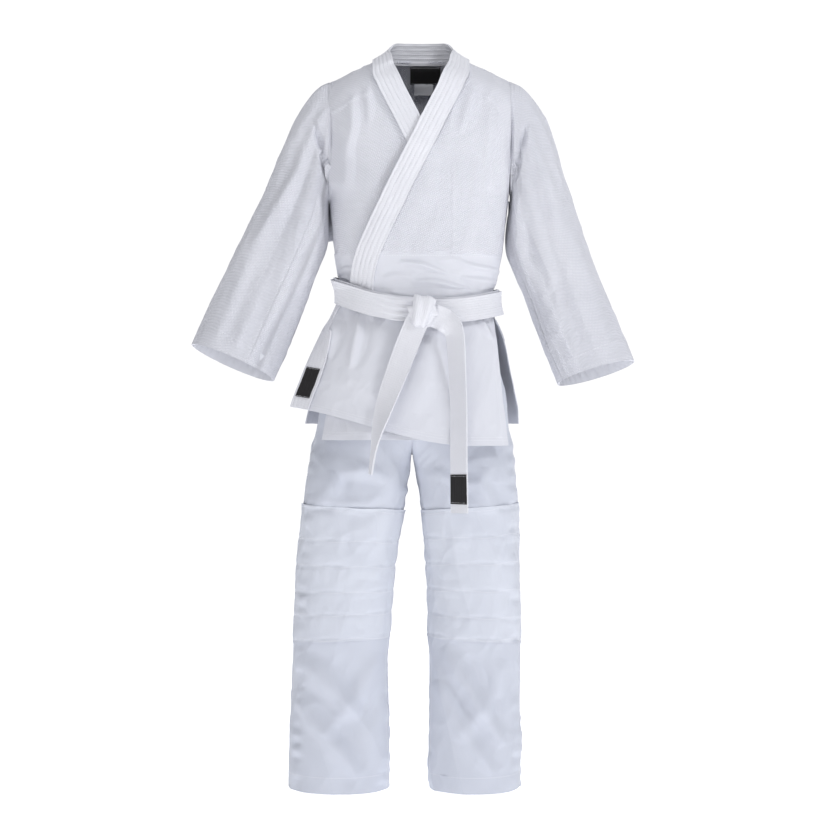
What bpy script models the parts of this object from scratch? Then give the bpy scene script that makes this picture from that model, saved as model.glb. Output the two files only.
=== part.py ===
"""Judo uniform: a wrap jacket, a tied belt and a pair of trousers, in the shape they take when worn.

Metres, +Z up, +X to the wearer's left, -Y to the front. The origin is the centre of the neck
opening at the height of the neck points, where a wearer, hanger or dress stand holds the jacket.
Every cloth panel is an open surface with a Solidify modifier. Panels that meet at a seam keep SEAM
between them, and panels that lie on each other are set apart by named layers.
"""

import math

import bmesh
import bpy
from mathutils import Matrix, Vector

# ---- driving dimensions -------------------------------------------------------------------

SEAM = 0.0006  # clearance between two panels sewn edge to edge
LAYER_GAP = 0.0014  # clearance between two layers that lie on each other
JACKET_CLOTH = 0.0022  # rice-grain cotton
SKIRT_CLOTH = 0.0018
TROUSER_CLOTH = 0.0014
BAND_CLOTH = 0.0036  # the lapel band is several layers quilted together
PATCH_CLOTH = 0.0010
BELT_CLOTH = 0.0030

NECK_HALF_WIDTH = 0.088
SHOULDER_HALF_WIDTH = 0.165
SHOULDER_DROP = 0.046  # neck point down to the armhole seam
SHOULDER_ROUND = 0.060  # how far below the shoulder line the body reaches its full depth
YOKE_DROP = 0.034
ARMPIT_Z = -0.246
ARMHOLE_CUT = 0.90  # share of the section that the body keeps beside the armhole
WAIST_SEAM_Z = -0.350
CHEST_HALF_DEPTH = 0.108
WAIST_HALF_WIDTH = 0.1455
WAIST_HALF_DEPTH = 0.092
HEM_HALF_WIDTH = 0.205
HEM_HALF_DEPTH = 0.135
JACKET_HEM_Z = -0.690
BACK_HEM_Z = -0.660
SECTION_POWER = 2.4
SIDE_SHARE = 0.9994  # share of the half width at which a side seam lies
YOKE_SEAM = 0.0012

LAPEL_WIDTH = 0.042
LAPEL_TOP_X = 0.080
LAPEL_SLOPE = 0.52  # how far the lapel crosses for each unit it drops
LAPEL_LOW_X = -0.113
UNDER_LAPEL_LOW_X = 0.080
LAPEL_TOP_Z = 0.004
LAPEL_START_Z = -0.026
COLLAR_RISE = 0.044
COLLAR_BACK_Y = 0.058
COLLAR_LEAN = 0.026
CHEST_FACING_NEAR_X = 0.058
CHEST_FACING_FAR_X = 0.112
CHEST_FACING_TOP_Z = -0.190
LABEL_WIDTH = 0.052
LABEL_HEIGHT = 0.030
LABEL_TOP_Z = 0.004
LABEL_X = 0.008
TAG_WIDTH = 0.034
TAG_HEIGHT = 0.019
LABEL_CLEAR = 0.007
LABEL_LEAN_OUT = 0.020

SLEEVE_LENGTH = 0.440  # from the middle of the armhole to the middle of the cuff
SLEEVE_DEPTH = 0.128
SLEEVE_CLEAR = 0.003
GUSSET_HEIGHT = 0.062
GUSSET_REACH = 0.012
GUSSET_Y = 0.044
CUFF_WIDTH = 0.154
CUFF_DEPTH = 0.098
CUFF_HEM = 0.034
ARMHOLE_HEIGHT = 0.205
SLEEVE_LEFT_ANGLE = 20.0  # degrees from vertical
SLEEVE_RIGHT_ANGLE = 24.5

BELT_WIDTH = 0.042
BELT_Z = -0.4235
BELT_DIP = 0.0295
BELT_TILT = 0.011
BELT_OVERHANG = 0.003
KNOT_X = 0.003
KNOT_WIDTH = 0.048
KNOT_HEIGHT = 0.056
KNOT_DEPTH = 0.026
TAIL_LEFT_LENGTH = 0.345
BELT_BADGE_START = 0.80
TAIL_RIGHT_LENGTH = 0.262

SKIRT_CLEAR = 0.005
SKIRT_FLARE = 0.018
SKIRT_LAYER = 0.006
FRONT_FREE_EDGE_X = -0.235
FRONT_FREE_EDGE_Z = -0.628
FRONT_VENT_X = 0.152
INNER_VENT_X = -0.179
BADGE_WIDTH = 0.030
BADGE_HEIGHT = 0.056
BADGE_TOP_Z = -0.560
INNER_BAND_X = 0.085
VENT_PATCH_WIDTH = 0.018
VENT_PATCH_HEIGHT = 0.040
TAIL_CLEAR = 0.003

TROUSER_WAIST_Z = -0.398
CROTCH_Z = -0.724
CROTCH_X = -0.0167
HIP_HALF_WIDTH = 0.183
HIP_HALF_DEPTH = 0.104
TROUSER_WAIST_HALF_WIDTH = 0.128
TROUSER_WAIST_HALF_DEPTH = 0.078
WAISTBAND_HEIGHT = 0.040
LOOP_X = 0.030
LOOP_WIDTH = 0.010
LOOP_LENGTH = 0.034
LOOP_RISE = 0.005
TROUSER_HEM_Z = -1.330
LEG_TOP_WIDTH = 0.180
LEG_HEM_WIDTH = 0.166
LEG_TOP_HALF_DEPTH = 0.092
LEG_HEM_HALF_DEPTH = 0.062
LEG_LEFT_SPLAY = 0.018  # how far the hem's centre is outside the leg's top centre
LEG_RIGHT_SPLAY = 0.040
LEG_APART = 0.004
LEG_CLEAR = 0.003
HIP_CLEAR = 0.004
KNEE_TOP_Z = -0.812
KNEE_LOW_Z = -1.060
LEG_HEM = 0.030

# ---- scene and small helpers ---------------------------------------------------------------


def clear_scene():
    """Remove everything that a new file holds."""
    for item in list(bpy.data.objects):
        bpy.data.objects.remove(item)


def collection_named(name):
    """A collection linked to the scene."""
    made = bpy.data.collections.new(name)
    bpy.context.scene.collection.children.link(made)
    return made


def material(name, colour, roughness):
    """A Principled BSDF of one colour."""
    made = bpy.data.materials.new(name)
    made.use_nodes = True
    shader = made.node_tree.nodes["Principled BSDF"]
    shader.inputs["Base Color"].default_value = (*colour, 1.0)
    shader.inputs["Roughness"].default_value = roughness
    shader.inputs["Metallic"].default_value = 0.0
    return made


def move_to(made, home):
    """Keep an object in one collection only."""
    for holder in made.users_collection:
        holder.objects.unlink(made)
    home.objects.link(made)


def hang(names, pivot_name, place, home, parent=None):
    """Parent pieces to an empty on their joint's axis, with their own origins on it."""
    pivot = bpy.data.objects.new(pivot_name, None)
    home.objects.link(pivot)
    where = Vector(place)
    pivot.location = where - parent.location if parent else where
    pivot.parent = parent
    for name in names:
        piece = bpy.data.objects[name]
        piece.data.transform(Matrix.Translation(piece.location - where))
        piece.location = (0.0, 0.0, 0.0)
        piece.parent = pivot
    return pivot


def mix(low, high, share):
    """The value that lies this share of the way from low to high."""
    return low + (high - low) * share


def ease(share):
    """0 to 1 with level ends."""
    held = min(max(share, 0.0), 1.0)
    return held * held * (3.0 - 2.0 * held)


def along(stations, place):
    """Values between stations (place, value, value...), whose places fall, eased from one to the next."""
    if place >= stations[0][0]:
        return stations[0][1:]
    for upper, lower in zip(stations, stations[1:]):
        if place >= lower[0]:
            share = (upper[0] - place) / (upper[0] - lower[0])
            return tuple(mix(a, b, share) for a, b in zip(upper[1:], lower[1:]))
    return stations[-1][1:]


def sheet(name, rows, thickness, look, home, outward, closed=False, lift=None):
    """A panel: the surface lofted through rows of points, thickened away from the point outward.

    closed joins each row's last point to its first, as round a sleeve. lift gives how far the
    surface is moved along its normal at a share down the rows and a share along them.
    """
    shape = bmesh.new()
    grid = [[shape.verts.new(point) for point in row] for row in rows]
    for upper, lower in zip(grid, grid[1:]):
        count = len(upper)
        for i in range(count if closed else count - 1):
            j = (i + 1) % count
            shape.faces.new((upper[i], upper[j], lower[j], lower[i]))
    face_away(shape, Vector(outward))
    if lift is not None:
        shape.normal_update()
        normals = [[vertex.normal.copy() for vertex in row] for row in grid]
        for down, row, ways in zip(steps(len(grid)), grid, normals):
            for share, vertex, way in zip(steps(len(row)), row, ways):
                vertex.co += way * lift(down, share)
    mesh = bpy.data.meshes.new(name)
    shape.to_mesh(mesh)
    shape.free()
    made = bpy.data.objects.new(name, mesh)
    home.objects.link(made)
    mesh.materials.append(look)
    thicken = made.modifiers.new("cloth", "SOLIDIFY")
    thicken.thickness = thickness
    thicken.offset = 1.0
    mesh.shade_smooth()
    mesh.set_sharp_from_angle(angle=math.radians(50.0))
    return made


def face_away(shape, inside):
    """Turn the surface so that on the whole it looks away from the point inside."""
    shape.normal_update()
    total = sum(face.normal.dot(face.calc_center_median() - inside) * face.calc_area() for face in shape.faces)
    if total < 0.0:
        bmesh.ops.reverse_faces(shape, faces=shape.faces)
        shape.normal_update()


def constant(value):
    """A lift that is the same all over a panel."""
    return lambda down, share: value


def through(points, count):
    """Points evenly spaced in share on the smooth curve through the given points."""
    ends = [points[0] * 2.0 - points[1], *points, points[-1] * 2.0 - points[-2]]
    made = []
    for share in steps(count):
        place = share * (len(points) - 1)
        i = min(int(place), len(points) - 2)
        t = place - i
        a, b, c, d = ends[i:i + 4]
        made.append((b * 2.0 + (c - a) * t + (a * 2.0 - b * 5.0 + c * 4.0 - d) * t * t
                     + (b * 3.0 - a - c * 3.0 + d) * t * t * t) * 0.5)
    return made


def loop(count, first=0.0, turn=2.0 * math.pi):
    """Angles evenly spaced round a closed section."""
    return [first + turn * i / count for i in range(count)]


def steps(count):
    """Shares from 0 to 1, ends included."""
    return [i / (count - 1) for i in range(count)]


# ---- the jacket body's shape ----------------------------------------------------------------

BODY = (
    (0.030, SHOULDER_HALF_WIDTH, CHEST_HALF_DEPTH * 0.80, 0.0),
    (-0.120, SHOULDER_HALF_WIDTH, CHEST_HALF_DEPTH * 0.97, 0.0),
    (ARMPIT_Z, SHOULDER_HALF_WIDTH - 0.002, CHEST_HALF_DEPTH, -0.0045),
    (BELT_Z + 0.010, WAIST_HALF_WIDTH, WAIST_HALF_DEPTH, -0.0055),
    (BELT_Z - 0.050, WAIST_HALF_WIDTH + 0.006, WAIST_HALF_DEPTH + 0.008, -0.0062),
    (mix(BELT_Z, JACKET_HEM_Z, 0.60), mix(WAIST_HALF_WIDTH, HEM_HALF_WIDTH, 0.62),
     mix(WAIST_HALF_DEPTH, HEM_HALF_DEPTH, 0.66), -0.012),
    (JACKET_HEM_Z - 0.02, HEM_HALF_WIDTH, HEM_HALF_DEPTH, -0.018),
)
TOP_LAYER = JACKET_CLOTH + BAND_CLOTH + 3.0 * LAYER_GAP
BAND_LAYER = TOP_LAYER + JACKET_CLOTH + LAYER_GAP


def body_at(z):
    """(half width, half depth, centre x) of the jacket at a height."""
    return along(BODY, z)


def shoulder_line(x):
    """Height of the shoulder's crest above a point across the body."""
    width = abs(x)
    if width <= NECK_HALF_WIDTH:
        return 0.014 * (1.0 - width / NECK_HALF_WIDTH)
    return -SHOULDER_DROP * (width - NECK_HALF_WIDTH) / (SHOULDER_HALF_WIDTH - NECK_HALF_WIDTH)


def section_share(share, power=SECTION_POWER):
    """Depth of a section, as a share of its greatest, at a share of its half width."""
    held = min(abs(share), 1.0)
    return (1.0 - held ** power) ** (1.0 / power)


def cut_at(z):
    """Share of the section used at a height: less than all of it beside the armhole."""
    return mix(1.0, ARMHOLE_CUT, ease((z - ARMPIT_Z) / 0.030))


def flare_at(z, flare):
    """How far a flared skirt stands out at a height: nothing at the belt, all of it at the hem."""
    return flare * min(max((BELT_Z - z) / (BELT_Z - JACKET_HEM_Z), 0.0), 1.0)


def depth_at(x, z, flare=0.0):
    """How far the body stands from the XZ plane at x and z."""
    half_width, half_depth, centre = body_at(z)
    half_width += flare_at(z, flare)
    centre -= flare_at(z, flare)
    below = min(max(shoulder_line(x) - z, 0.0), SHOULDER_ROUND)
    cap = math.sqrt(1.0 - (1.0 - below / SHOULDER_ROUND) ** 2)
    return half_depth * section_share((x - centre) / half_width * cut_at(z)) * cap


def on_body(x, z, face, flare=0.0):
    """The body's point at x and z, on its front (face -1) or back (face 1)."""
    return Vector((x, face * depth_at(x, z, flare), z))


def lapel_x(z):
    """The centre line of the outer lapel, which crosses to the wearer's right and then hangs."""
    line = LAPEL_TOP_X - LAPEL_SLOPE * (LAPEL_TOP_Z - z)
    excess = line - LAPEL_LOW_X
    return LAPEL_LOW_X + 0.5 * (excess + math.sqrt(excess * excess + 0.020 ** 2))


def side_x(side):
    """x of a side seam as a function of height."""
    return lambda z: body_at(z)[2] + side * body_at(z)[0] * SIDE_SHARE


# ---- jacket ----------------------------------------------------------------------------------


def body_rows(face, left, right, top, low, shape, flare=0.0):
    """Rows of a panel on the body: left and right give its edges' x at a height, top and low its heights at x."""
    rows = []
    for down in steps(shape[0]):
        row = []
        for share in steps(shape[1]):
            x = mix(left(WAIST_SEAM_Z), right(WAIST_SEAM_Z), share)
            for _ in range(6):
                z = mix(top(x), low(x), down)
                x = between(left(z), right(z), share, z, flare)
            row.append(on_body(x, z, face, flare))
        rows.append(row)
    return rows


def between(left, right, share, z, flare):
    """x at a share of the way from left to right, measured as a turn of the section."""
    half_width, _, centre = body_at(z)
    half_width += flare_at(z, flare)
    centre -= flare_at(z, flare)
    turns = [math.asin(min(max((x - centre) / half_width, -1.0), 1.0)) for x in (left, right)]
    return centre + half_width * math.sin(mix(turns[0], turns[1], share))


def constant_height(z):
    """A panel's edge that is level."""
    return lambda x: z


def constant_x(x):
    """A panel's edge that is upright."""
    return lambda z: x


def yoke_seam(x):
    """Height of the seam between a yoke and the panel below it."""
    return shoulder_line(x) - YOKE_DROP


def over_lift(down, share):
    """Lift of the outer front: none at the yoke and at the side seam, full where the fronts overlap."""
    return TOP_LAYER * ease(down / 0.16) * ease((1.0 - share) / 0.26)


def waist_over_lift(down, share):
    """Lift of the outer front between the waist seam and the belt."""
    return TOP_LAYER * ease((1.0 - share) / 0.26)


def under_x(z):
    """The centre line of the under lapel, which mirrors the outer one and hangs further in."""
    return min(-lapel_x(z), UNDER_LAPEL_LOW_X)


def make_body(grain, smooth, home):
    """Back and fronts: rice-grain cloth above the waist seam, smooth cloth from there to the belt."""
    right, left = side_x(-1.0), side_x(1.0)
    seam = WAIST_SEAM_Z
    stretches = (("back_panel", 1, right, left, None, 19), ("front_left_panel", -1, lapel_x, left, over_lift, 13),
                 ("front_right_panel", -1, right, under_x, None, 13))
    for name, face, near, far, lift, count in stretches:
        rows = body_rows(face, near, far, lambda x: yoke_seam(x) - SEAM, lambda x: seam + SEAM, (11, count))
        sheet(name, rows, JACKET_CLOTH, grain, home, (0.0, 0.0, -0.2), lift=lift)
    stretches = (("waist_back", 1, right, left, None, 19),
                 ("waist_front_left", -1, lapel_x, left, waist_over_lift, 13),
                 ("waist_front_right", -1, right, under_x, None, 13))
    for name, face, near, far, lift, count in stretches:
        rows = body_rows(face, near, far, lambda x: seam - SEAM, lambda x: belt_low(x, face), (4, count))
        sheet(name, rows, SKIRT_CLOTH, smooth, home, (0.0, 0.0, -0.4), lift=lift)


def make_yokes(look, home):
    """The two shoulder yokes, from the front seam over the crest to the back seam."""
    for name, side in (("yoke_left", 1.0), ("yoke_right", -1.0)):
        rows = []
        for share in steps(6):
            x = side * mix(NECK_HALF_WIDTH + SEAM, SHOULDER_HALF_WIDTH, share)
            row = []
            for reach in steps(11):
                turn = 2.0 * reach - 1.0
                z = shoulder_line(x) - (YOKE_DROP - YOKE_SEAM) * turn * turn
                row.append(on_body(x, z, 1.0 if turn > 0.0 else -1.0))
            rows.append(row)
        sheet(name, rows, JACKET_CLOTH, look, home, (side * 0.12, 0.0, -0.20))


def lapel_row(centre_x, z, flare=0.0):
    """Three points across the lapel band, square to its centre line, from free edge to seam edge."""
    slope = (centre_x(z + 0.002) - centre_x(z - 0.002)) / 0.004
    run = math.hypot(1.0, slope)
    row = []
    for side in (-0.5, 0.0, 0.5):
        x = centre_x(z) + side * LAPEL_WIDTH / run
        row.append(on_body(x, z - side * LAPEL_WIDTH * slope / run, -1, flare))
    return row


def make_collar(look, home):
    """The quilted band: one stretch round the back of the neck and a lapel down each front."""
    low = BELT_Z - 0.5 * BELT_WIDTH
    lifts = {"left": BAND_LAYER, "right": JACKET_CLOTH + 1.6 * LAYER_GAP}
    for wearer, centre_x in (("left", lapel_x), ("right", under_x)):
        rows = [lapel_row(centre_x, mix(LAPEL_START_Z, low, share)) for share in steps(16)]
        sheet(f"lapel_{wearer}_band", rows, BAND_CLOTH, look, home, (0.0, 0.0, -0.2),
              lift=constant(lifts[wearer]))
    seam, free = collar_edges()
    rows = [[low_edge, (low_edge + top_edge) * 0.5, top_edge] for low_edge, top_edge in zip(seam, free)]
    sheet("collar_back_band", rows, BAND_CLOTH, look, home, (0.0, 0.0, 0.02))


def collar_edges():
    """Points along the seam edge and the free edge of the collar, from the wearer's right to the left."""
    reach = NECK_HALF_WIDTH - 0.002
    seam = [Vector((0.0, COLLAR_BACK_Y, 0.013))]
    free = [Vector((0.0, COLLAR_BACK_Y - 0.006, COLLAR_RISE))]
    for side in (-1.0, 1.0):
        outer = [Vector((side * 0.056, COLLAR_BACK_Y - 0.014, 0.012)), Vector((side * reach, 0.016, 0.008)),
                 Vector((side * (reach + 0.004), -0.020, 0.004))]
        inner = [Vector((side * 0.048, COLLAR_BACK_Y - 0.024, COLLAR_RISE - 0.004)),
                 Vector((side * (reach - COLLAR_LEAN), 0.010, 0.034)),
                 Vector((side * (reach - COLLAR_LEAN - 0.002), -0.024, 0.026))]
        seam = outer[::-1] + seam if side < 0.0 else seam + outer
        free = inner[::-1] + free if side < 0.0 else free + inner
    return through(seam, 25), through(free, 25)


def make_back_yoke(look, home):
    """The back yoke, which closes the back between the shoulder yokes and the collar."""
    rows = []
    for point in collar_edges()[0]:
        if abs(point.x) > NECK_HALF_WIDTH - 0.006 or point.y < 0.0:
            continue
        low = on_body(point.x, yoke_seam(point.x) + SEAM, 1)
        top = point + Vector((0.0, 0.0, -JACKET_CLOTH - LAYER_GAP))
        rows.append([low, low.lerp(top, 0.5) + Vector((0.0, 0.003, 0.002)), top])
    sheet("yoke_back", rows, JACKET_CLOTH, look, home, (0.0, 0.0, -0.10))


def make_chest_facing(look, home):
    """The reinforcement sewn on the outer front from the chest to the waist seam."""
    rows = body_rows(-1, constant_x(CHEST_FACING_NEAR_X), constant_x(CHEST_FACING_FAR_X),
                     constant_height(CHEST_FACING_TOP_Z), constant_height(WAIST_SEAM_Z + SEAM), (8, 7))
    sheet("chest_facing_left", rows, PATCH_CLOTH, look, home, (0.0, 0.0, -0.25),
          lift=constant(TOP_LAYER + JACKET_CLOTH + LAYER_GAP))


def make_labels(cloth, dark, home):
    """The woven neck label and the size tag under it, hung inside the back of the neck."""
    label_low = LABEL_TOP_Z - LABEL_HEIGHT
    tag_low = label_low - SEAM - TAG_HEIGHT
    lean = LABEL_LEAN_OUT
    stretches = (("neck_label", dark, LABEL_WIDTH, LABEL_TOP_Z, label_low),
                 ("size_tag", cloth, TAG_WIDTH, label_low - SEAM, tag_low))
    for name, look, width, top, low in stretches:
        rows = []
        for z in (top, 0.5 * (top + low), low):
            y = COLLAR_BACK_Y - LABEL_CLEAR + lean * ease((LABEL_TOP_Z - z) / (LABEL_HEIGHT + TAG_HEIGHT))
            rows.append([Vector((LABEL_X + width * (share - 0.5), y, z)) for share in steps(3)])
        sheet(name, rows, PATCH_CLOTH, look, home, (0.0, 1.0, top))


# ---- belt ------------------------------------------------------------------------------------


def belt_z(angle):
    """Height of the belt's centre line at an angle from the front, positive to the wearer's left."""
    front = max(math.cos(angle), 0.0) ** 2
    return BELT_Z - BELT_DIP * front - BELT_TILT * math.sin(angle)


def belt_low(x, face=-1):
    """Height of the belt's lower edge, and a little more, at x on the front or the back."""
    half_width, _, centre = body_at(BELT_Z)
    angle = math.asin(min(max((x - centre) / half_width, -1.0), 1.0))
    if face > 0:
        angle = math.copysign(math.pi, angle) - angle
    return belt_z(angle) - 0.5 * BELT_WIDTH - BELT_OVERHANG


def belt_clear(angle):
    """How far the belt stands off the body: over the lapels in front, over one cloth behind."""
    front = ease(math.cos(angle) / 0.36)
    return mix(SKIRT_CLOTH + 0.001, BAND_LAYER + BAND_CLOTH, front) + LAYER_GAP


def belt_ring(name, layer, shift, look, home):
    """One turn of the belt round the waist."""
    rows = []
    power = 2.0 / SECTION_POWER
    for edge in (0.5, 0.0, -0.5):
        row = []
        for angle in loop(48):
            z = belt_z(angle) + edge * BELT_WIDTH
            half_width, half_depth, centre = body_at(z)
            side = math.copysign(abs(math.sin(angle)) ** power, math.sin(angle))
            front = math.copysign(abs(math.cos(angle)) ** power, math.cos(angle))
            row.append(Vector((centre + half_width * side, -half_depth * front, z + shift)))
        rows.append(row)
    return sheet(name, rows, BELT_CLOTH, look, home, (0.0, 0.0, BELT_Z), True,
                 lambda down, share: belt_clear(2.0 * math.pi * share * 47.0 / 48.0) + layer)


def belt_front_y():
    """y of the outer face of the belt at the centre of the front."""
    depth = body_at(BELT_Z - BELT_DIP - 0.5 * BELT_WIDTH)[1]
    return -(depth + belt_clear(0.0) + 2.0 * BELT_CLOTH + LAYER_GAP)


def knot_z():
    """Height of the knot's middle."""
    return belt_z(0.0) - 0.004


def make_belt(look, home):
    """Two turns of the belt and the knot on its front."""
    belt_ring("belt_inner_turn", 0.0, 0.0015, look, home)
    belt_ring("belt_outer_turn", BELT_CLOTH + LAYER_GAP, -0.0015, look, home)
    bpy.ops.mesh.primitive_cube_add(size=1.0)
    knot = bpy.context.object
    knot.name = "belt_knot"
    knot.data.name = "belt_knot"
    for vertex in knot.data.vertices:
        narrow = 0.78 if vertex.co.z < 0.0 else 1.0
        vertex.co.x *= KNOT_WIDTH * narrow
        vertex.co.y *= KNOT_DEPTH
        vertex.co.z *= KNOT_HEIGHT
    knot.location = (KNOT_X, belt_front_y() - 0.5 * KNOT_DEPTH - LAYER_GAP, knot_z())
    round_off = knot.modifiers.new("soft", "BEVEL")
    round_off.width = 0.009
    round_off.segments = 3
    knot.data.materials.append(look)
    knot.data.shade_smooth()
    move_to(knot, home)


# ---- sleeves ----------------------------------------------------------------------------------


def bow(start, pull, end, share):
    """The point at a share along the curve from start to end that pull draws towards itself."""
    return start.lerp(pull, share).lerp(pull.lerp(end, share), share)


def sleeve_sections(angle, first, count):
    """(top point, underarm point, half depth) along a sleeve on the +X side, from a share to the cuff."""
    lean = math.radians(angle)
    down = Vector((math.sin(lean), 0.0, -math.cos(lean)))
    out = Vector((math.cos(lean), 0.0, math.sin(lean)))
    root_top = Vector((SHOULDER_HALF_WIDTH + 2.0 * JACKET_CLOTH + SLEEVE_CLEAR, 0.0, -SHOULDER_DROP))
    root_low = root_top - Vector((0.0, 0.0, ARMHOLE_HEIGHT))
    cuff = (root_top + root_low) * 0.5 + down * SLEEVE_LENGTH
    cuff_top = cuff + out * 0.5 * CUFF_WIDTH
    cuff_low = cuff - out * 0.5 * CUFF_WIDTH
    top_pull = cuff_top - down * 0.93 * SLEEVE_LENGTH
    low_pull = root_low + Vector((0.004, 0.0, -0.26 * SLEEVE_LENGTH))
    sections = []
    for step in steps(count):
        share = mix(first, 1.0, step)
        top = bow(root_top, top_pull, cuff_top, share)
        low = bow(root_low, low_pull, cuff_low, share)
        sections.append((top, low, 0.5 * mix(SLEEVE_DEPTH, CUFF_DEPTH, share)))
    return sections


def tube_rows(sections, side, inset=0.0, count=20):
    """Closed rows round each (top, low, half depth) section, moved in by inset."""
    rows = []
    for top, low, depth in sections:
        middle = (top + low) * 0.5
        reach = (top - low) * 0.5
        reach -= reach.normalized() * inset
        row = []
        for angle in loop(count):
            point = middle + reach * math.cos(angle)
            point.y += (depth - inset) * math.sin(angle)
            row.append(Vector((side * point.x, point.y, point.z)))
        rows.append(row)
    return rows


def middle_of(section, side):
    """The middle of a (top, low, half depth) section on one side."""
    middle = (section[0] + section[1]) * 0.5
    return (side * middle.x, middle.y, middle.z)


def make_sleeve(wearer, side, angle, grain, smooth, home):
    """A sleeve and the folded facing inside its cuff."""
    sections = sleeve_sections(angle, 0.0, 11)
    sheet(f"sleeve_{wearer}", tube_rows(sections, side), JACKET_CLOTH, grain, home,
          middle_of(sections[5], side), True)
    hem = sleeve_sections(angle, 1.0 - CUFF_HEM / SLEEVE_LENGTH, 3)
    rows = tube_rows(hem, side, JACKET_CLOTH * 0.5 + LAYER_GAP)
    sheet(f"cuff_facing_{wearer}", rows, JACKET_CLOTH * 0.5, smooth, home, middle_of(hem[1], side), True)


def make_gusset(wearer, side, look, home):
    """The underarm gusset: the small panel that shows behind the armpit, beside the body."""
    rows = []
    for down in steps(4):
        z = mix(ARMPIT_Z - 0.012, ARMPIT_Z - 0.012 - GUSSET_HEIGHT, down)
        near = SHOULDER_HALF_WIDTH * SIDE_SHARE + JACKET_CLOTH + LAYER_GAP - 0.006
        rows.append([Vector((side * (near + GUSSET_REACH * share), GUSSET_Y + 0.004 * share, z)) for share in steps(4)])
    sheet(f"underarm_gusset_{wearer}", rows, JACKET_CLOTH * 0.5, look, home, (0.0, -1.0, ARMPIT_Z))


# ---- skirt ------------------------------------------------------------------------------------


def straight_edge(top_x, low_x, low_z):
    """x of a free edge that runs straight from the belt to a point at low_z."""
    return lambda z: mix(top_x, low_x, min(max((BELT_Z - z) / (BELT_Z - low_z), 0.0), 1.0))


def outer_low(x):
    """Height of the outer front's hem, which rises towards the wearer's right."""
    share = (x - FRONT_FREE_EDGE_X) / (FRONT_VENT_X - FRONT_FREE_EDGE_X)
    return mix(FRONT_FREE_EDGE_Z, JACKET_HEM_Z - 0.010, ease(0.12 + share / 0.95))


def skirt_front_top(x):
    """Height at which the front skirt comes out under the belt."""
    return belt_low(x) - SKIRT_CLEAR


def make_front_skirt(smooth, band, dark, home):
    """The skirt in front: the outer front with its lapel band and badge, and the front under it."""
    half_width, _, centre = body_at(BELT_Z)
    free = straight_edge(centre - half_width * 0.985, FRONT_FREE_EDGE_X, FRONT_FREE_EDGE_Z)
    vent = straight_edge(centre + half_width * 0.94, FRONT_VENT_X, JACKET_HEM_Z)
    inside = (0.0, 0.0, -0.58)
    rows = body_rows(-1, free, vent, skirt_front_top, outer_low, (10, 17), SKIRT_FLARE)
    sheet("skirt_front_outer", rows, SKIRT_CLOTH, smooth, home, inside, lift=constant(SKIRT_LAYER))
    inner_low = constant_height(JACKET_HEM_Z + 0.003)
    near = straight_edge(centre - half_width * 0.96, INNER_VENT_X, JACKET_HEM_Z)
    far = straight_edge(0.060, INNER_BAND_X, JACKET_HEM_Z)
    rows = body_rows(-1, near, far, skirt_front_top, inner_low, (9, 13))
    sheet("skirt_front_inner", rows, SKIRT_CLOTH, smooth, home, inside)

    def band_far(z):
        reach = LAPEL_WIDTH * mix(0.30, 0.95, ease((BELT_Z - z) / 0.12))
        return free(z) + reach

    layer = SKIRT_LAYER + SKIRT_CLOTH + LAYER_GAP
    rows = body_rows(-1, free, band_far, skirt_front_top, outer_low, (10, 5), SKIRT_FLARE)
    sheet("skirt_lapel_band", rows, BAND_CLOTH, band, home, inside, lift=constant(layer))

    def badge_near(z):
        return free(z) + 0.5 * (LAPEL_WIDTH - BADGE_WIDTH)

    def badge_far(z):
        return free(z) + 0.5 * (LAPEL_WIDTH + BADGE_WIDTH)

    rows = body_rows(-1, badge_near, badge_far, constant_height(BADGE_TOP_Z),
                     constant_height(BADGE_TOP_Z - BADGE_HEIGHT), (5, 4), SKIRT_FLARE)
    sheet("jacket_badge", rows, PATCH_CLOTH, dark, home, inside, lift=constant(layer + BAND_CLOTH + LAYER_GAP))


def make_back_skirt(smooth, patch, home):
    """The skirt behind, from side seam to side seam, with a reinforcement at the top of each vent."""
    right, left = side_x(-1.0), side_x(1.0)
    inside = (0.0, 0.0, -0.58)

    def top(x):
        return belt_low(x, 1) - SKIRT_CLEAR

    rows = body_rows(1, right, left, top, constant_height(BACK_HEM_Z), (9, 19))
    sheet("skirt_back", rows, SKIRT_CLOTH, smooth, home, inside)
    for wearer, side in (("left", 1.0), ("right", -1.0)):
        edge = side_x(side)

        def deep(z):
            return edge(z) - side * VENT_PATCH_WIDTH

        near, far = (deep, edge) if side > 0.0 else (edge, deep)
        rows = body_rows(1, near, far, lambda x: top(x) - 0.006, lambda x: top(x) - 0.006 - VENT_PATCH_HEIGHT, (4, 5))
        sheet(f"vent_patch_{wearer}", rows, PATCH_CLOTH, patch, home, inside,
              lift=constant(SKIRT_CLOTH + LAYER_GAP))


# ---- belt tails -------------------------------------------------------------------------------


def skirt_clear_y(x, z):
    """y just in front of everything on the front skirt."""
    layers = SKIRT_LAYER + SKIRT_CLOTH + 2.0 * LAYER_GAP + 0.010
    return -depth_at(x, min(z, BELT_Z - 0.03), SKIRT_FLARE) - layers


def tail_rows(places, facings, count=15):
    """Rows of a belt end through places (x, z, stand-off), turned to face by the angles in facings."""
    centres = []
    for x, z, off in places:
        centres.append(Vector((x, min(skirt_clear_y(x, z), tail_start_y()) - off, z)))
    turns = through([Vector((angle, 0.0, 0.0)) for angle in facings], count)
    rows = []
    for centre, turn in zip(through(centres, count), turns):
        angle = math.radians(turn.x)
        reach = Vector((math.cos(angle), -math.sin(angle), 0.0)) * 0.5 * BELT_WIDTH
        rows.append([centre - reach, centre, centre + reach])
    return rows


def tail_start_y():
    """y at which both belt ends leave the knot."""
    return belt_front_y() - 0.5 * KNOT_DEPTH


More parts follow.
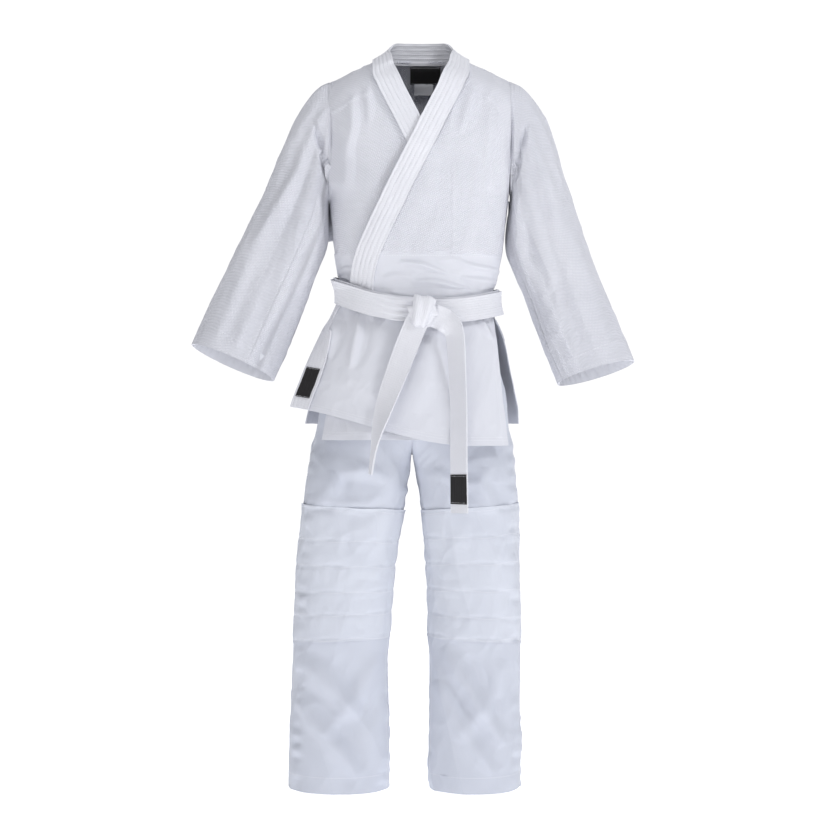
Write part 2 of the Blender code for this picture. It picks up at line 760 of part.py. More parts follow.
def make_tails(look, dark, home):
    """The two belt ends below the knot and the badge on the wearer's left one."""
    top = knot_z() - 0.5 * KNOT_HEIGHT - TAIL_CLEAR
    low = top - TAIL_LEFT_LENGTH
    places = ((0.052, top + 0.008, 0.004), (0.062, mix(top, low, 0.14), 0.006), (0.066, mix(top, low, 0.45), 0.008),
              (0.067, mix(top, low, 0.75), 0.010), (0.068, low, 0.010))
    rows = tail_rows(places, (20.0, 38.0, 45.0, 48.0, 46.0), 18)
    sheet("belt_tail_left", rows, BELT_CLOTH, look, home, (rows[8][1].x, 0.2, rows[8][1].z))
    first = round(17.0 * BELT_BADGE_START)
    badge = [[row[0].lerp(row[2], edge) for edge in (0.04, 0.5, 0.96)] for row in rows[first:first + 3]]
    sheet("belt_badge", badge, PATCH_CLOTH, dark, home, (rows[8][1].x, 0.2, rows[8][1].z),
          lift=constant(BELT_CLOTH + LAYER_GAP))
    low = top - TAIL_RIGHT_LENGTH
    places = ((-0.016, top, 0.002), (-0.045, mix(top, low, 0.27), 0.010), (-0.070, mix(top, low, 0.55), 0.014),
              (-0.084, mix(top, low, 0.80), 0.014), (-0.092, low, 0.012))
    rows = tail_rows(places, (5.0, 14.0, 32.0, 55.0, 64.0))
    sheet("belt_tail_right", rows, BELT_CLOTH, look, home, (rows[7][1].x, 0.2, rows[7][1].z))


# ---- trousers ---------------------------------------------------------------------------------

HIPS = (
    (TROUSER_WAIST_Z, TROUSER_WAIST_HALF_WIDTH, TROUSER_WAIST_HALF_DEPTH, -0.0055),
    (mix(TROUSER_WAIST_Z, CROTCH_Z, 0.36), TROUSER_WAIST_HALF_WIDTH + 0.009, TROUSER_WAIST_HALF_DEPTH + 0.005,
     -0.007),
    (mix(TROUSER_WAIST_Z, CROTCH_Z, 0.62), HIP_HALF_WIDTH - 0.017, HIP_HALF_DEPTH - 0.008, -0.012),
    (CROTCH_Z, HIP_HALF_WIDTH, HIP_HALF_DEPTH, CROTCH_X - 0.001),
)


def hip_point(turn, z, face, layer=0.0):
    """A point of the hips at a turn (-1 wearer's right, 1 left) and a height."""
    half_width, half_depth, centre = along(HIPS, z)
    share = math.sin(0.5 * math.pi * turn)
    depth = half_depth * section_share(share) + layer
    return Vector((centre + half_width * share, face * depth, z))


def make_hips(look, home):
    """The four hip panels, the waistband, its loops and the crotch gusset."""
    gap = 0.004
    for face, part in ((-1, "front"), (1, "seat")):
        for wearer, side in (("left", 1.0), ("right", -1.0)):
            rows = []
            for down in steps(7):
                z = mix(TROUSER_WAIST_Z - WAISTBAND_HEIGHT - SEAM, CROTCH_Z + HIP_CLEAR, down)
                rows.append([hip_point(side * mix(gap, 1.0 - gap, share), z, face) for share in steps(8)])
            sheet(f"hip_{part}_{wearer}", rows, TROUSER_CLOTH, look, home, (side * 0.05, 0.0, -0.55))
    rows = []
    for z in (TROUSER_WAIST_Z, TROUSER_WAIST_Z - WAISTBAND_HEIGHT):
        half_width, half_depth, centre = along(HIPS, z)
        rows.append([Vector((centre + half_width * math.sin(a), -half_depth * math.cos(a), z)) for a in loop(32)])
    sheet("trouser_waistband", rows, 2.0 * TROUSER_CLOTH, look, home, (0.0, 0.0, TROUSER_WAIST_Z), True)
    rows = []
    for reach in steps(9):
        y = mix(-0.068, 0.068, reach)
        z = CROTCH_Z + HIP_CLEAR + 0.003 + 2.2 * y * y
        rows.append([Vector((CROTCH_X + dx, y, z + 9.0 * dx * dx)) for dx in (-0.030, -0.015, 0.0, 0.015, 0.030)])
    sheet("crotch_gusset", rows, TROUSER_CLOTH, look, home, (CROTCH_X, 0.0, 0.0))


def make_waist_loops(look, home):
    """The two loops on the front of the waistband that guide the drawstring."""
    for wearer, side in (("left", 1.0), ("right", -1.0)):
        rows = []
        for share in steps(7):
            z = TROUSER_WAIST_Z - 0.5 * WAISTBAND_HEIGHT + LOOP_LENGTH * (share - 0.5)
            half_width, half_depth, centre = along(HIPS, z)
            stand = 2.0 * TROUSER_CLOTH + LAYER_GAP + LOOP_RISE * math.sin(math.pi * share)
            row = []
            for across_share in steps(3):
                x = centre + side * LOOP_X + LOOP_WIDTH * (across_share - 0.5)
                depth = half_depth * math.sqrt(1.0 - ((x - centre) / half_width) ** 2)
                row.append(Vector((x, -depth - stand, z)))
            rows.append(row)
        sheet(f"waist_loop_{wearer}", rows, PATCH_CLOTH, look, home, (0.0, 0.0, TROUSER_WAIST_Z))


def leg_section(side, splay, z):
    """(centre x, half width, half depth, power) of a leg at a height."""
    share = (CROTCH_Z - z) / (CROTCH_Z - TROUSER_HEM_Z)
    early = ease(share / 0.45)
    width = mix(LEG_TOP_WIDTH, LEG_HEM_WIDTH, early)
    top_centre = CROTCH_X + side * (0.5 * LEG_TOP_WIDTH + LEG_APART)
    centre = top_centre + side * splay * mix(early, share, 0.5)
    depth = mix(LEG_TOP_HALF_DEPTH, LEG_HEM_HALF_DEPTH, ease(share / 0.8))
    return centre, 0.5 * width, depth, mix(3.2, 2.2, early)


def leg_row(side, splay, z, face, count=11, gap=0.006):
    """Points across the front or the back of a leg at a height."""
    centre, half_width, half_depth, power = leg_section(side, splay, z)
    row = []
    for share in steps(count):
        swing = math.sin(0.5 * math.pi * mix(-1.0 + gap, 1.0 - gap, share))
        row.append(Vector((centre + half_width * swing, face * half_depth * section_share(swing, power), z)))
    return row


def make_leg(wearer, side, splay, look, patch, home):
    """A leg: front and back panels, a knee patch and the folded hem."""
    top = CROTCH_Z - LEG_CLEAR
    middle = (leg_section(side, splay, -1.0)[0], 0.0, -1.0)
    for face, part in ((-1, "front"), (1, "back")):
        rows = [leg_row(side, splay, mix(top, TROUSER_HEM_Z, down), face) for down in steps(13)]
        sheet(f"leg_{part}_{wearer}", rows, TROUSER_CLOTH, look, home, middle)
    rows = [leg_row(side, splay, mix(KNEE_TOP_Z, KNEE_LOW_Z, down), -1) for down in steps(7)]
    sheet(f"knee_patch_{wearer}", rows, PATCH_CLOTH, patch, home, middle, lift=constant(TROUSER_CLOTH + LAYER_GAP))
    rows = []
    for z in (TROUSER_HEM_Z + LEG_HEM, TROUSER_HEM_Z + 0.0004):
        rows.append(leg_row(side, splay, z, -1) + leg_row(side, splay, z, 1)[::-1])
    sheet(f"hem_facing_{wearer}", rows, PATCH_CLOTH, look, home, (middle[0], 0.0, TROUSER_HEM_Z), True,
          constant(-PATCH_CLOTH - LAYER_GAP))


# ---- joints -----------------------------------------------------------------------------------


def hang_moving_pieces(home):
    """Give every moving piece its origin on its joint's axis."""
    shoulder_x = SHOULDER_HALF_WIDTH + 2.0 * JACKET_CLOTH + SLEEVE_CLEAR
    hip_z = CROTCH_Z - 0.5 * LEG_CLEAR
    trousers = hang(["trouser_waistband", "hip_front_left", "hip_front_right", "hip_seat_left", "hip_seat_right",
                     "crotch_gusset", "waist_loop_left", "waist_loop_right"], "pivot_trousers",
                    (CROTCH_X, 0.0, TROUSER_WAIST_Z), home)
    for wearer, side in (("left", 1.0), ("right", -1.0)):
        hang([f"sleeve_{wearer}", f"cuff_facing_{wearer}"], f"pivot_sleeve_{wearer}",
             (side * shoulder_x, 0.0, -SHOULDER_DROP), home)
        hip_x = CROTCH_X + side * (LEG_APART + LEG_TOP_WIDTH + TROUSER_CLOTH)
        leg = [f"leg_front_{wearer}", f"leg_back_{wearer}", f"knee_patch_{wearer}", f"hem_facing_{wearer}"]
        hang(leg, f"pivot_leg_{wearer}", (hip_x, 0.0, hip_z), home, trousers)
    knot_low = (0.0, tail_start_y() - BELT_CLOTH - 0.003, knot_z() - 0.5 * KNOT_HEIGHT)
    front = hang(["skirt_front_outer", "skirt_front_inner", "skirt_lapel_band", "jacket_badge"],
                 "pivot_front_skirt", knot_low, home)
    hang(["belt_tail_left", "belt_badge"], "pivot_tail_left", knot_low, home, front)
    hang(["belt_tail_right"], "pivot_tail_right", knot_low, home, front)
    back_z = belt_z(math.pi) - 0.5 * BELT_WIDTH
    back_y = body_at(back_z)[1] + belt_clear(math.pi) + 2.0 * BELT_CLOTH + LAYER_GAP
    hang(["skirt_back", "vent_patch_left", "vent_patch_right"], "pivot_back_skirt", (0.0, back_y, back_z), home)


# ---- run ---------------------------------------------------------------------------------------


def main():
    """Build every piece of the uniform."""
    clear_scene()
    home = collection_named("judo_uniform")
    grain = material("grain_cotton", (0.76, 0.77, 0.83), 0.85)
    smooth = material("smooth_cotton", (0.74, 0.76, 0.82), 0.85)
    drill = material("trouser_drill", (0.70, 0.72, 0.79), 0.80)
    patch = material("knee_patch", (0.73, 0.75, 0.81), 0.80)
    band = material("band_cotton", (0.78, 0.79, 0.84), 0.85)
    belt = material("belt_cotton", (0.80, 0.81, 0.86), 0.80)
    dark = material("dark_label", (0.02, 0.02, 0.02), 0.6)
    make_body(grain, smooth, home)
    make_yokes(grain, home)
    make_back_yoke(grain, home)
    make_collar(band, home)
    make_chest_facing(grain, home)
    make_labels(smooth, dark, home)
    make_belt(belt, home)
    make_tails(belt, dark, home)
    make_sleeve("left", 1.0, SLEEVE_LEFT_ANGLE, grain, smooth, home)
    make_sleeve("right", -1.0, SLEEVE_RIGHT_ANGLE, grain, smooth, home)
    make_gusset("left", 1.0, grain, home)
    make_gusset("right", -1.0, grain, home)
    make_front_skirt(smooth, band, dark, home)
    make_back_skirt(smooth, patch, home)
    make_hips(drill, home)
    make_waist_loops(drill, home)
    make_leg("left", 1.0, LEG_LEFT_SPLAY, drill, patch, home)
    make_leg("right", -1.0, LEG_RIGHT_SPLAY, drill, patch, home)
    hang_moving_pieces(home)


main()
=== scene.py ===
"""The looks of a judo uniform: its cloth, bands and trims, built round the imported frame."""

import logging
import math
from collections.abc import Callable, Sequence
from dataclasses import dataclass, field
from enum import Enum

import bpy
import numpy as np
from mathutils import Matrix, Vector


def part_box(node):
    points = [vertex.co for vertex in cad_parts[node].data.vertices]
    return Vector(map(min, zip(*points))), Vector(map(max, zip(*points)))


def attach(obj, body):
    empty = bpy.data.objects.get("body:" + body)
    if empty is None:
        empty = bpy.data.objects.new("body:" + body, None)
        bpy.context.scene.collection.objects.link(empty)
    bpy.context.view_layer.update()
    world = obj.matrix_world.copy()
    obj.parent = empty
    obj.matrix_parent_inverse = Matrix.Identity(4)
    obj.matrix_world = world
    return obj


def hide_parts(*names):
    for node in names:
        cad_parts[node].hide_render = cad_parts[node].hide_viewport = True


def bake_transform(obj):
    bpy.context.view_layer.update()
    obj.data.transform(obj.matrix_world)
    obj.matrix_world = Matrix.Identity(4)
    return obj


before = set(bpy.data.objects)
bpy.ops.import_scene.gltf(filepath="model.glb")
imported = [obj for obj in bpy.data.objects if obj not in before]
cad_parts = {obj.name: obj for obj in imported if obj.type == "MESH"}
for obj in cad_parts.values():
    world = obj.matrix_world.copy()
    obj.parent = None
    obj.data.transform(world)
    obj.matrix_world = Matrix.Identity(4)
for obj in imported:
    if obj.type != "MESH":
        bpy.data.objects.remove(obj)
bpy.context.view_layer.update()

log = logging.getLogger("judo_uniform")

Array = np.ndarray
Height = Callable[[Array], Array]


# ---- small helpers ---------------------------------------------------------------------------


def mix(low: Array | float, high: Array | float, share: Array | float) -> Array | float:
    """The value that lies this share of the way from low to high."""
    return low + (high - low) * share


def ease(share: Array | float) -> Array:
    """0 to 1 with level ends."""
    held = np.clip(share, 0.0, 1.0)
    return held * held * (3.0 - 2.0 * held)


def steps(count: int, rim: float = 0.0) -> Array:
    """Shares from 0 to 1, ends included, with a narrow step of size rim at both ends if rim is given.

    Args:
        count: how many shares.
        rim: size of the first and the last step, or 0 for even ones.

    Returns:
        The shares, in order.
    """
    even = np.linspace(0.0, 1.0, count)
    if rim:
        even[1], even[-2] = rim, 1.0 - rim
    return even


def bell(distance: Array, width: float) -> Array:
    """1 at no distance, falling off smoothly over the width."""
    return np.exp(-((distance / width) ** 2))


def smooth_path(points: Sequence[Sequence[float]], count: int) -> Array:
    """Points evenly spaced in share on the smooth curve through the given ones.

    Args:
        points: two or more points of any one dimension.
        count: how many points to return.

    Returns:
        An array of count points.
    """
    held = np.array(points, float)
    ends = np.vstack([2.0 * held[0] - held[1], held, 2.0 * held[-1] - held[-2]])
    place = np.linspace(0.0, len(held) - 1.0, count)
    first = np.minimum(place.astype(int), len(held) - 2)
    t = (place - first)[:, None]
    a, b, c, d = (ends[first + i] for i in range(4))
    return 0.5 * (2.0 * b + (c - a) * t + (2.0 * a - 5.0 * b + 4.0 * c - d) * t**2
                  + (3.0 * b - a - 3.0 * c + d) * t**3)


def soft_noise(u: Array, v: Array, seed: int) -> Array:
    """Smooth noise from -1 to 1, one swell to a unit, the same for the same seed.

    Args:
        u: the places one way, in swells.
        v: the places the other way.
        seed: which noise.

    Returns:
        The noise at each place.
    """
    table = np.random.default_rng(seed).uniform(-1.0, 1.0, (64, 64))
    i, j = np.floor(u).astype(int), np.floor(v).astype(int)
    s, t = ease(u - i), ease(v - j)
    low = mix(table[i % 64, j % 64], table[(i + 1) % 64, j % 64], s)
    high = mix(table[i % 64, (j + 1) % 64], table[(i + 1) % 64, (j + 1) % 64], s)
    return mix(low, high, t)


def nearest_on(path: Array, x: Array, z: Array) -> tuple[Array, Array, float]:
    """How far places lie from a path.

    Args:
        path: points (x, z) of the path.
        x: the places' x.
        z: the places' z.

    Returns:
        The distance, positive on the path's left, how far along the path it is, and the path's length.
    """
    best = np.full(x.shape, np.inf)
    signed = np.zeros(x.shape)
    reach = np.zeros(x.shape)
    gone = 0.0
    for p, q in zip(path, path[1:]):
        way = q - p
        length = float(np.hypot(*way)) + 1e-12
        t = np.clip(((x - p[0]) * way[0] + (z - p[1]) * way[1]) / length**2, 0.0, 1.0)
        dx, dz = x - p[0] - t * way[0], z - p[1] - t * way[1]
        far = np.hypot(dx, dz)
        closer = far < best
        best = np.where(closer, far, best)
        side = np.sign(way[0] * dz - way[1] * dx)
        signed = np.where(closer, far * np.where(side == 0.0, 1.0, side), signed)
        reach = np.where(closer, gone + t * length, reach)
        gone += length
    return signed, reach, gone


# ---- folds, puckers and seams: each gives a height over a cloth --------------------------------


@dataclass(frozen=True)
class Crease:
    """A fold that stands up along a path in x and z, with a hollow on the path's left."""

    path: tuple[tuple[float, float], ...]
    height: float
    width: float
    hollow: float = 0.5

    def relief(self, x: Array, z: Array, u: Array, v: Array) -> Array:
        """Height of the fold over the cloth.

        Args:
            x: the places' x, in metres.
            z: the places' z, in metres.
            u: how far across the cloth they are, in metres; not used.
            v: how far down it they are, in metres; not used.

        Returns:
            The height at each place, in metres.
        """
        path = smooth_path(self.path, 8 * (len(self.path) - 1) + 1)
        signed, reach, length = nearest_on(path, x, z)
        taper = np.sin(math.pi * np.clip(reach / length, 0.0, 1.0)) ** 0.6
        width = self.width * (0.55 + 0.45 * taper)
        ridge = bell(signed, 1.0 * width) - self.hollow * bell(signed - 1.7 * width, 1.1 * width)
        return self.height * taper * ridge


@dataclass(frozen=True)
class Pucker:
    """Small gathers across a line in x and z, as beside a tight seam."""

    path: tuple[tuple[float, float], ...]
    height: float
    reach: float
    pitch: float
    seed: int

    def relief(self, x: Array, z: Array, u: Array, v: Array) -> Array:
        """Height of the gathers over the cloth.

        Args:
            x: the places' x, in metres.
            z: the places' z, in metres.
            u: how far across the cloth they are, in metres; not used.
            v: how far down it they are, in metres; not used.

        Returns:
            The height at each place, in metres.
        """
        path = smooth_path(self.path, 10 * (len(self.path) - 1) + 1)
        signed, reach, _ = nearest_on(path, x, z)
        wave = soft_noise(reach / self.pitch, 0.35 * signed / self.pitch + 7.0, self.seed)
        return self.height * wave * bell(signed, self.reach)


@dataclass(frozen=True)
class Welt:
    """A flat raised seam along a line in x and z."""

    path: tuple[tuple[float, float], ...]
    height: float
    width: float

    def relief(self, x: Array, z: Array, u: Array, v: Array) -> Array:
        """Height of the seam over the cloth.

        Args:
            x: the places' x, in metres.
            z: the places' z, in metres.
            u: how far across the cloth they are, in metres; not used.
            v: how far down it they are, in metres; not used.

        Returns:
            The height at each place, in metres.
        """
        signed, _, _ = nearest_on(smooth_path(self.path, 12 * (len(self.path) - 1) + 1), x, z)
        return self.height * np.exp(-((signed / (0.5 * self.width)) ** 4))


@dataclass(frozen=True)
class Rumple:
    """Soft wrinkles all over a cloth, longer one way than the other."""

    height: float
    length: float
    width: float
    lean: float
    seed: int

    def relief(self, x: Array, z: Array, u: Array, v: Array) -> Array:
        """Height of the wrinkles over the cloth.

        Args:
            x: the places' x, in metres; not used.
            z: the places' z, in metres; not used.
            u: how far across the cloth they are, in metres.
            v: how far down it they are, in metres.

        Returns:
            The height at each place, in metres.
        """
        c, s = math.cos(self.lean), math.sin(self.lean)
        across, along = u * c + v * s, v * c - u * s
        warp = 0.6 * soft_noise(across / self.length + 9.0, along / self.length + 3.0, self.seed + 1)
        first = soft_noise(across / self.width + warp, along / self.length, self.seed)
        second = soft_noise(2.1 * across / self.width + 5.0, 1.8 * along / self.length + warp, self.seed + 2)
        return self.height * (0.6 - 1.4 * np.abs(first) + 0.40 * second)


Mark = Crease | Pucker | Welt | Rumple


# ---- finishes ----------------------------------------------------------------------------------


class Weave(Enum):
    """How a cloth is woven or quilted."""

    RICE_GRAIN = "rice grain"
    PLAIN = "plain"
    DRILL = "drill"
    ROWS = "stitched rows"
    SATIN = "satin"


class Wiring:
    """Makes the nodes of one finish."""

    def __init__(self, tree: bpy.types.NodeTree) -> None:
        """Keeps the tree that the nodes go into."""
        self.tree = tree

    def node(self, kind: str, **inputs: object) -> bpy.types.Node:
        """A new node whose inputs are linked or set.

        Args:
            kind: the node's type.
            inputs: what goes into its sockets, by their names.

        Returns:
            The node.
        """
        made = self.tree.nodes.new(kind)
        for name, value in inputs.items():
            self.feed(made.inputs[name.replace("_", " ")], value)
        return made

    def feed(self, socket: bpy.types.NodeSocket, value: object) -> None:
        """Links a socket to an output, or sets it.

        Args:
            socket: the input.
            value: an output to link, or what to set.
        """
        if isinstance(value, bpy.types.NodeSocket):
            self.tree.links.new(value, socket)
        else:
            socket.default_value = value

    def maths(self, operation: str, *values: object) -> bpy.types.NodeSocket:
        """The result of a calculation on outputs and numbers.

        Args:
            operation: the calculation's name.
            values: its inputs, in order.

        Returns:
            The output that holds the result.
        """
        made = self.tree.nodes.new("ShaderNodeMath")
        made.operation = operation
        for socket, value in zip(made.inputs, values):
            self.feed(socket, value)
        return made.outputs[0]

    def wave(self, place: object) -> bpy.types.NodeSocket:
        """A hump from 0 to 1 and back over each whole unit."""
        return self.maths("SINE", self.maths("MULTIPLY", self.maths("FRACT", place), math.pi))

    def noise(self, place: object, scale: float, detail: float) -> bpy.types.NodeSocket:
        """Soft noise from 0 to 1."""
        return self.node("ShaderNodeTexNoise", Vector=place, Scale=scale, Detail=detail).outputs["Fac"]


@dataclass(frozen=True)
class Finish:
    """A cloth finish: its colour, a darker shade colour that the weave's grooves take as painted shade and that noise
    mixes in at random, its weave and how rough and deep that is. Lengths are in metres.
    """

    name: str
    slot: str
    colour: tuple[float, float, float]
    # shade is the darker colour: painted shade in the weave's grooves, and colour that varies at random where the
    # noise is low.
    shade: tuple[float, float, float]
    weave: Weave
    pitch: float
    depth: float
    rough: float = 0.9
    sheen: float = 0.15

    def weave_height(self, wiring: Wiring, u: object, v: object) -> bpy.types.NodeSocket:
        """Height of the weave, from 0 to 1, over the cloth's own u and v.

        Args:
            wiring: makes the finish's nodes.
            u: how far across the cloth, in metres.
            v: how far down it, in metres.

        Returns:
            The output that holds the height.
        """
        a = wiring.maths("DIVIDE", u, self.pitch)
        if self.weave is Weave.RICE_GRAIN:
            b = wiring.maths("DIVIDE", v, 0.66 * self.pitch)
            turn = wiring.maths("MULTIPLY", wiring.maths("MODULO", wiring.maths("FLOOR", b), 2.0), 0.5)
            return wiring.maths("MULTIPLY", wiring.wave(wiring.maths("ADD", a, turn)), wiring.wave(b))
        if self.weave is Weave.DRILL:
            return wiring.wave(wiring.maths("DIVIDE", wiring.maths("ADD", u, v), self.pitch))
        if self.weave is Weave.ROWS:
            dash = wiring.wave(wiring.maths("DIVIDE", v, 0.0042))
            row = wiring.maths("POWER", wiring.wave(a), 0.35)
            return wiring.maths("SUBTRACT", row, wiring.maths("MULTIPLY", wiring.maths("SUBTRACT", 1.0, row),
                                                              wiring.maths("MULTIPLY", dash, -1.4)))
        b = wiring.maths("DIVIDE", v, self.pitch)
        if self.weave is Weave.SATIN:
            return wiring.wave(b)
        return wiring.maths("MULTIPLY", wiring.wave(a), wiring.wave(b))

    def material(self) -> bpy.types.Material:
        """The finish as a material, made once.

        Returns:
            The material.
        """
        found = bpy.data.materials.get(self.name)
        if found:
            return found
        made = bpy.data.materials.new(self.name)
        made.use_nodes = True
        wiring = Wiring(made.node_tree)
        shader = made.node_tree.nodes["Principled BSDF"]
        cloth = wiring.node("ShaderNodeUVMap")
        cloth.uv_map = "cloth"
        apart = wiring.node("ShaderNodeSeparateXYZ", Vector=cloth.outputs["UV"])
        height = self.weave_height(wiring, apart.outputs["X"], apart.outputs["Y"])
        place = wiring.node("ShaderNodeTexCoord").outputs["Object"]
        yarn = wiring.noise(place, 700.0, 2.0)
        worn = wiring.noise(place, 9.0, 3.0)
        # Base colour runs from shade to colour: the weave's grooves are darkened as painted shade, and fine and broad
        # noise vary the colour at random.
        body = wiring.maths("ADD", wiring.maths("MULTIPLY", height, 0.75), wiring.maths("MULTIPLY", yarn, 0.25))
        tone_and_groove_shade = wiring.maths("ADD", wiring.maths("MULTIPLY", body, 0.55), wiring.maths("MULTIPLY", worn, 0.62))
        ramp = wiring.node("ShaderNodeMix", Factor=tone_and_groove_shade)
        ramp.data_type = "RGBA"
        colour = [s for s in ramp.outputs if s.type == "RGBA"][0]
        for socket, value in zip([s for s in ramp.inputs if s.type == "RGBA"], (self.shade, self.colour)):
            socket.default_value = (*value, 1.0)
        wiring.feed(shader.inputs["Base Color"], colour)
        rough = wiring.node("ShaderNodeMapRange", Value=yarn)
        rough.inputs["To Min"].default_value = self.rough - 0.06
        rough.inputs["To Max"].default_value = min(self.rough + 0.06, 1.0)
        wiring.feed(shader.inputs["Roughness"], rough.outputs["Result"])
        bump = wiring.node("ShaderNodeBump", Height=body, Distance=self.depth, Strength=0.9)
        wiring.feed(shader.inputs["Normal"], bump.outputs["Normal"])
        shader.inputs["Sheen Weight"].default_value = self.sheen
        shader.inputs["Sheen Roughness"].default_value = 0.45
        shader.inputs["Specular IOR Level"].default_value = 0.25
        return made


# Each finish lists its colour and then its shade colour, which paints shade into the weave's grooves and varies the
# colour at random.
GRAIN = Finish("rice grain cotton", "grain_cotton", (0.80, 0.805, 0.86), (0.58, 0.59, 0.655), Weave.RICE_GRAIN,
               0.0050, 0.0013)
SMOOTH = Finish("plain cotton", "smooth_cotton", (0.745, 0.755, 0.81), (0.61, 0.62, 0.675), Weave.PLAIN, 0.0012,
                0.00012)
BAND = Finish("quilted band cotton", "band_cotton", (0.785, 0.79, 0.835), (0.56, 0.565, 0.62), Weave.ROWS, 0.0078,
              0.0006)
BELTING = Finish("belt cotton", "belt_cotton", (0.775, 0.78, 0.825), (0.57, 0.575, 0.63), Weave.ROWS, 0.0052,
                 0.0004)
DRILL = Finish("trouser drill", "trouser_drill", (0.63, 0.655, 0.73), (0.48, 0.505, 0.585), Weave.DRILL, 0.0013,
               0.00012)
KNEE = Finish("knee drill", "knee_drill", (0.67, 0.695, 0.765), (0.52, 0.545, 0.625), Weave.DRILL, 0.0013, 0.00014)
DARK = Finish("black woven label", "dark_label", (0.020, 0.019, 0.020), (0.010, 0.009, 0.010), Weave.SATIN,
              0.0009, 0.00008, 0.7, 0.05)
TAG = Finish("satin tag", "tag_cloth", (0.84, 0.85, 0.885), (0.74, 0.75, 0.79), Weave.SATIN, 0.0007, 0.00005, 0.6)
THREAD = Finish("sewing thread", "band_cotton", (0.86, 0.865, 0.90), (0.74, 0.75, 0.80), Weave.PLAIN, 0.0006,
                0.00005, 0.7)


# ---- a piece of cloth --------------------------------------------------------------------------


@dataclass(frozen=True)
class Fitting:
    """What a piece stands for, what it moves with and how it was cut. Lengths are in metres."""

    nodes: tuple[str, ...]
    body: str
    flat: tuple[float, float]
    held: str
    rests_on: tuple[str, ...]
    area: float | None = None
    second: str | None = None
    start: tuple[float, float, float] = (0.0, 0.0, 0.0)
    end: tuple[float, float, float] = (0.0, 0.0, 0.0)

    def fit(self, piece: bpy.types.Object) -> bpy.types.Object:
        """Args:
            piece: the mesh.

        Returns:
            The same piece.
        """
        if self.second:
            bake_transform(piece)
        else:
            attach(piece, self.body)
        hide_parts(*self.nodes)
        return piece


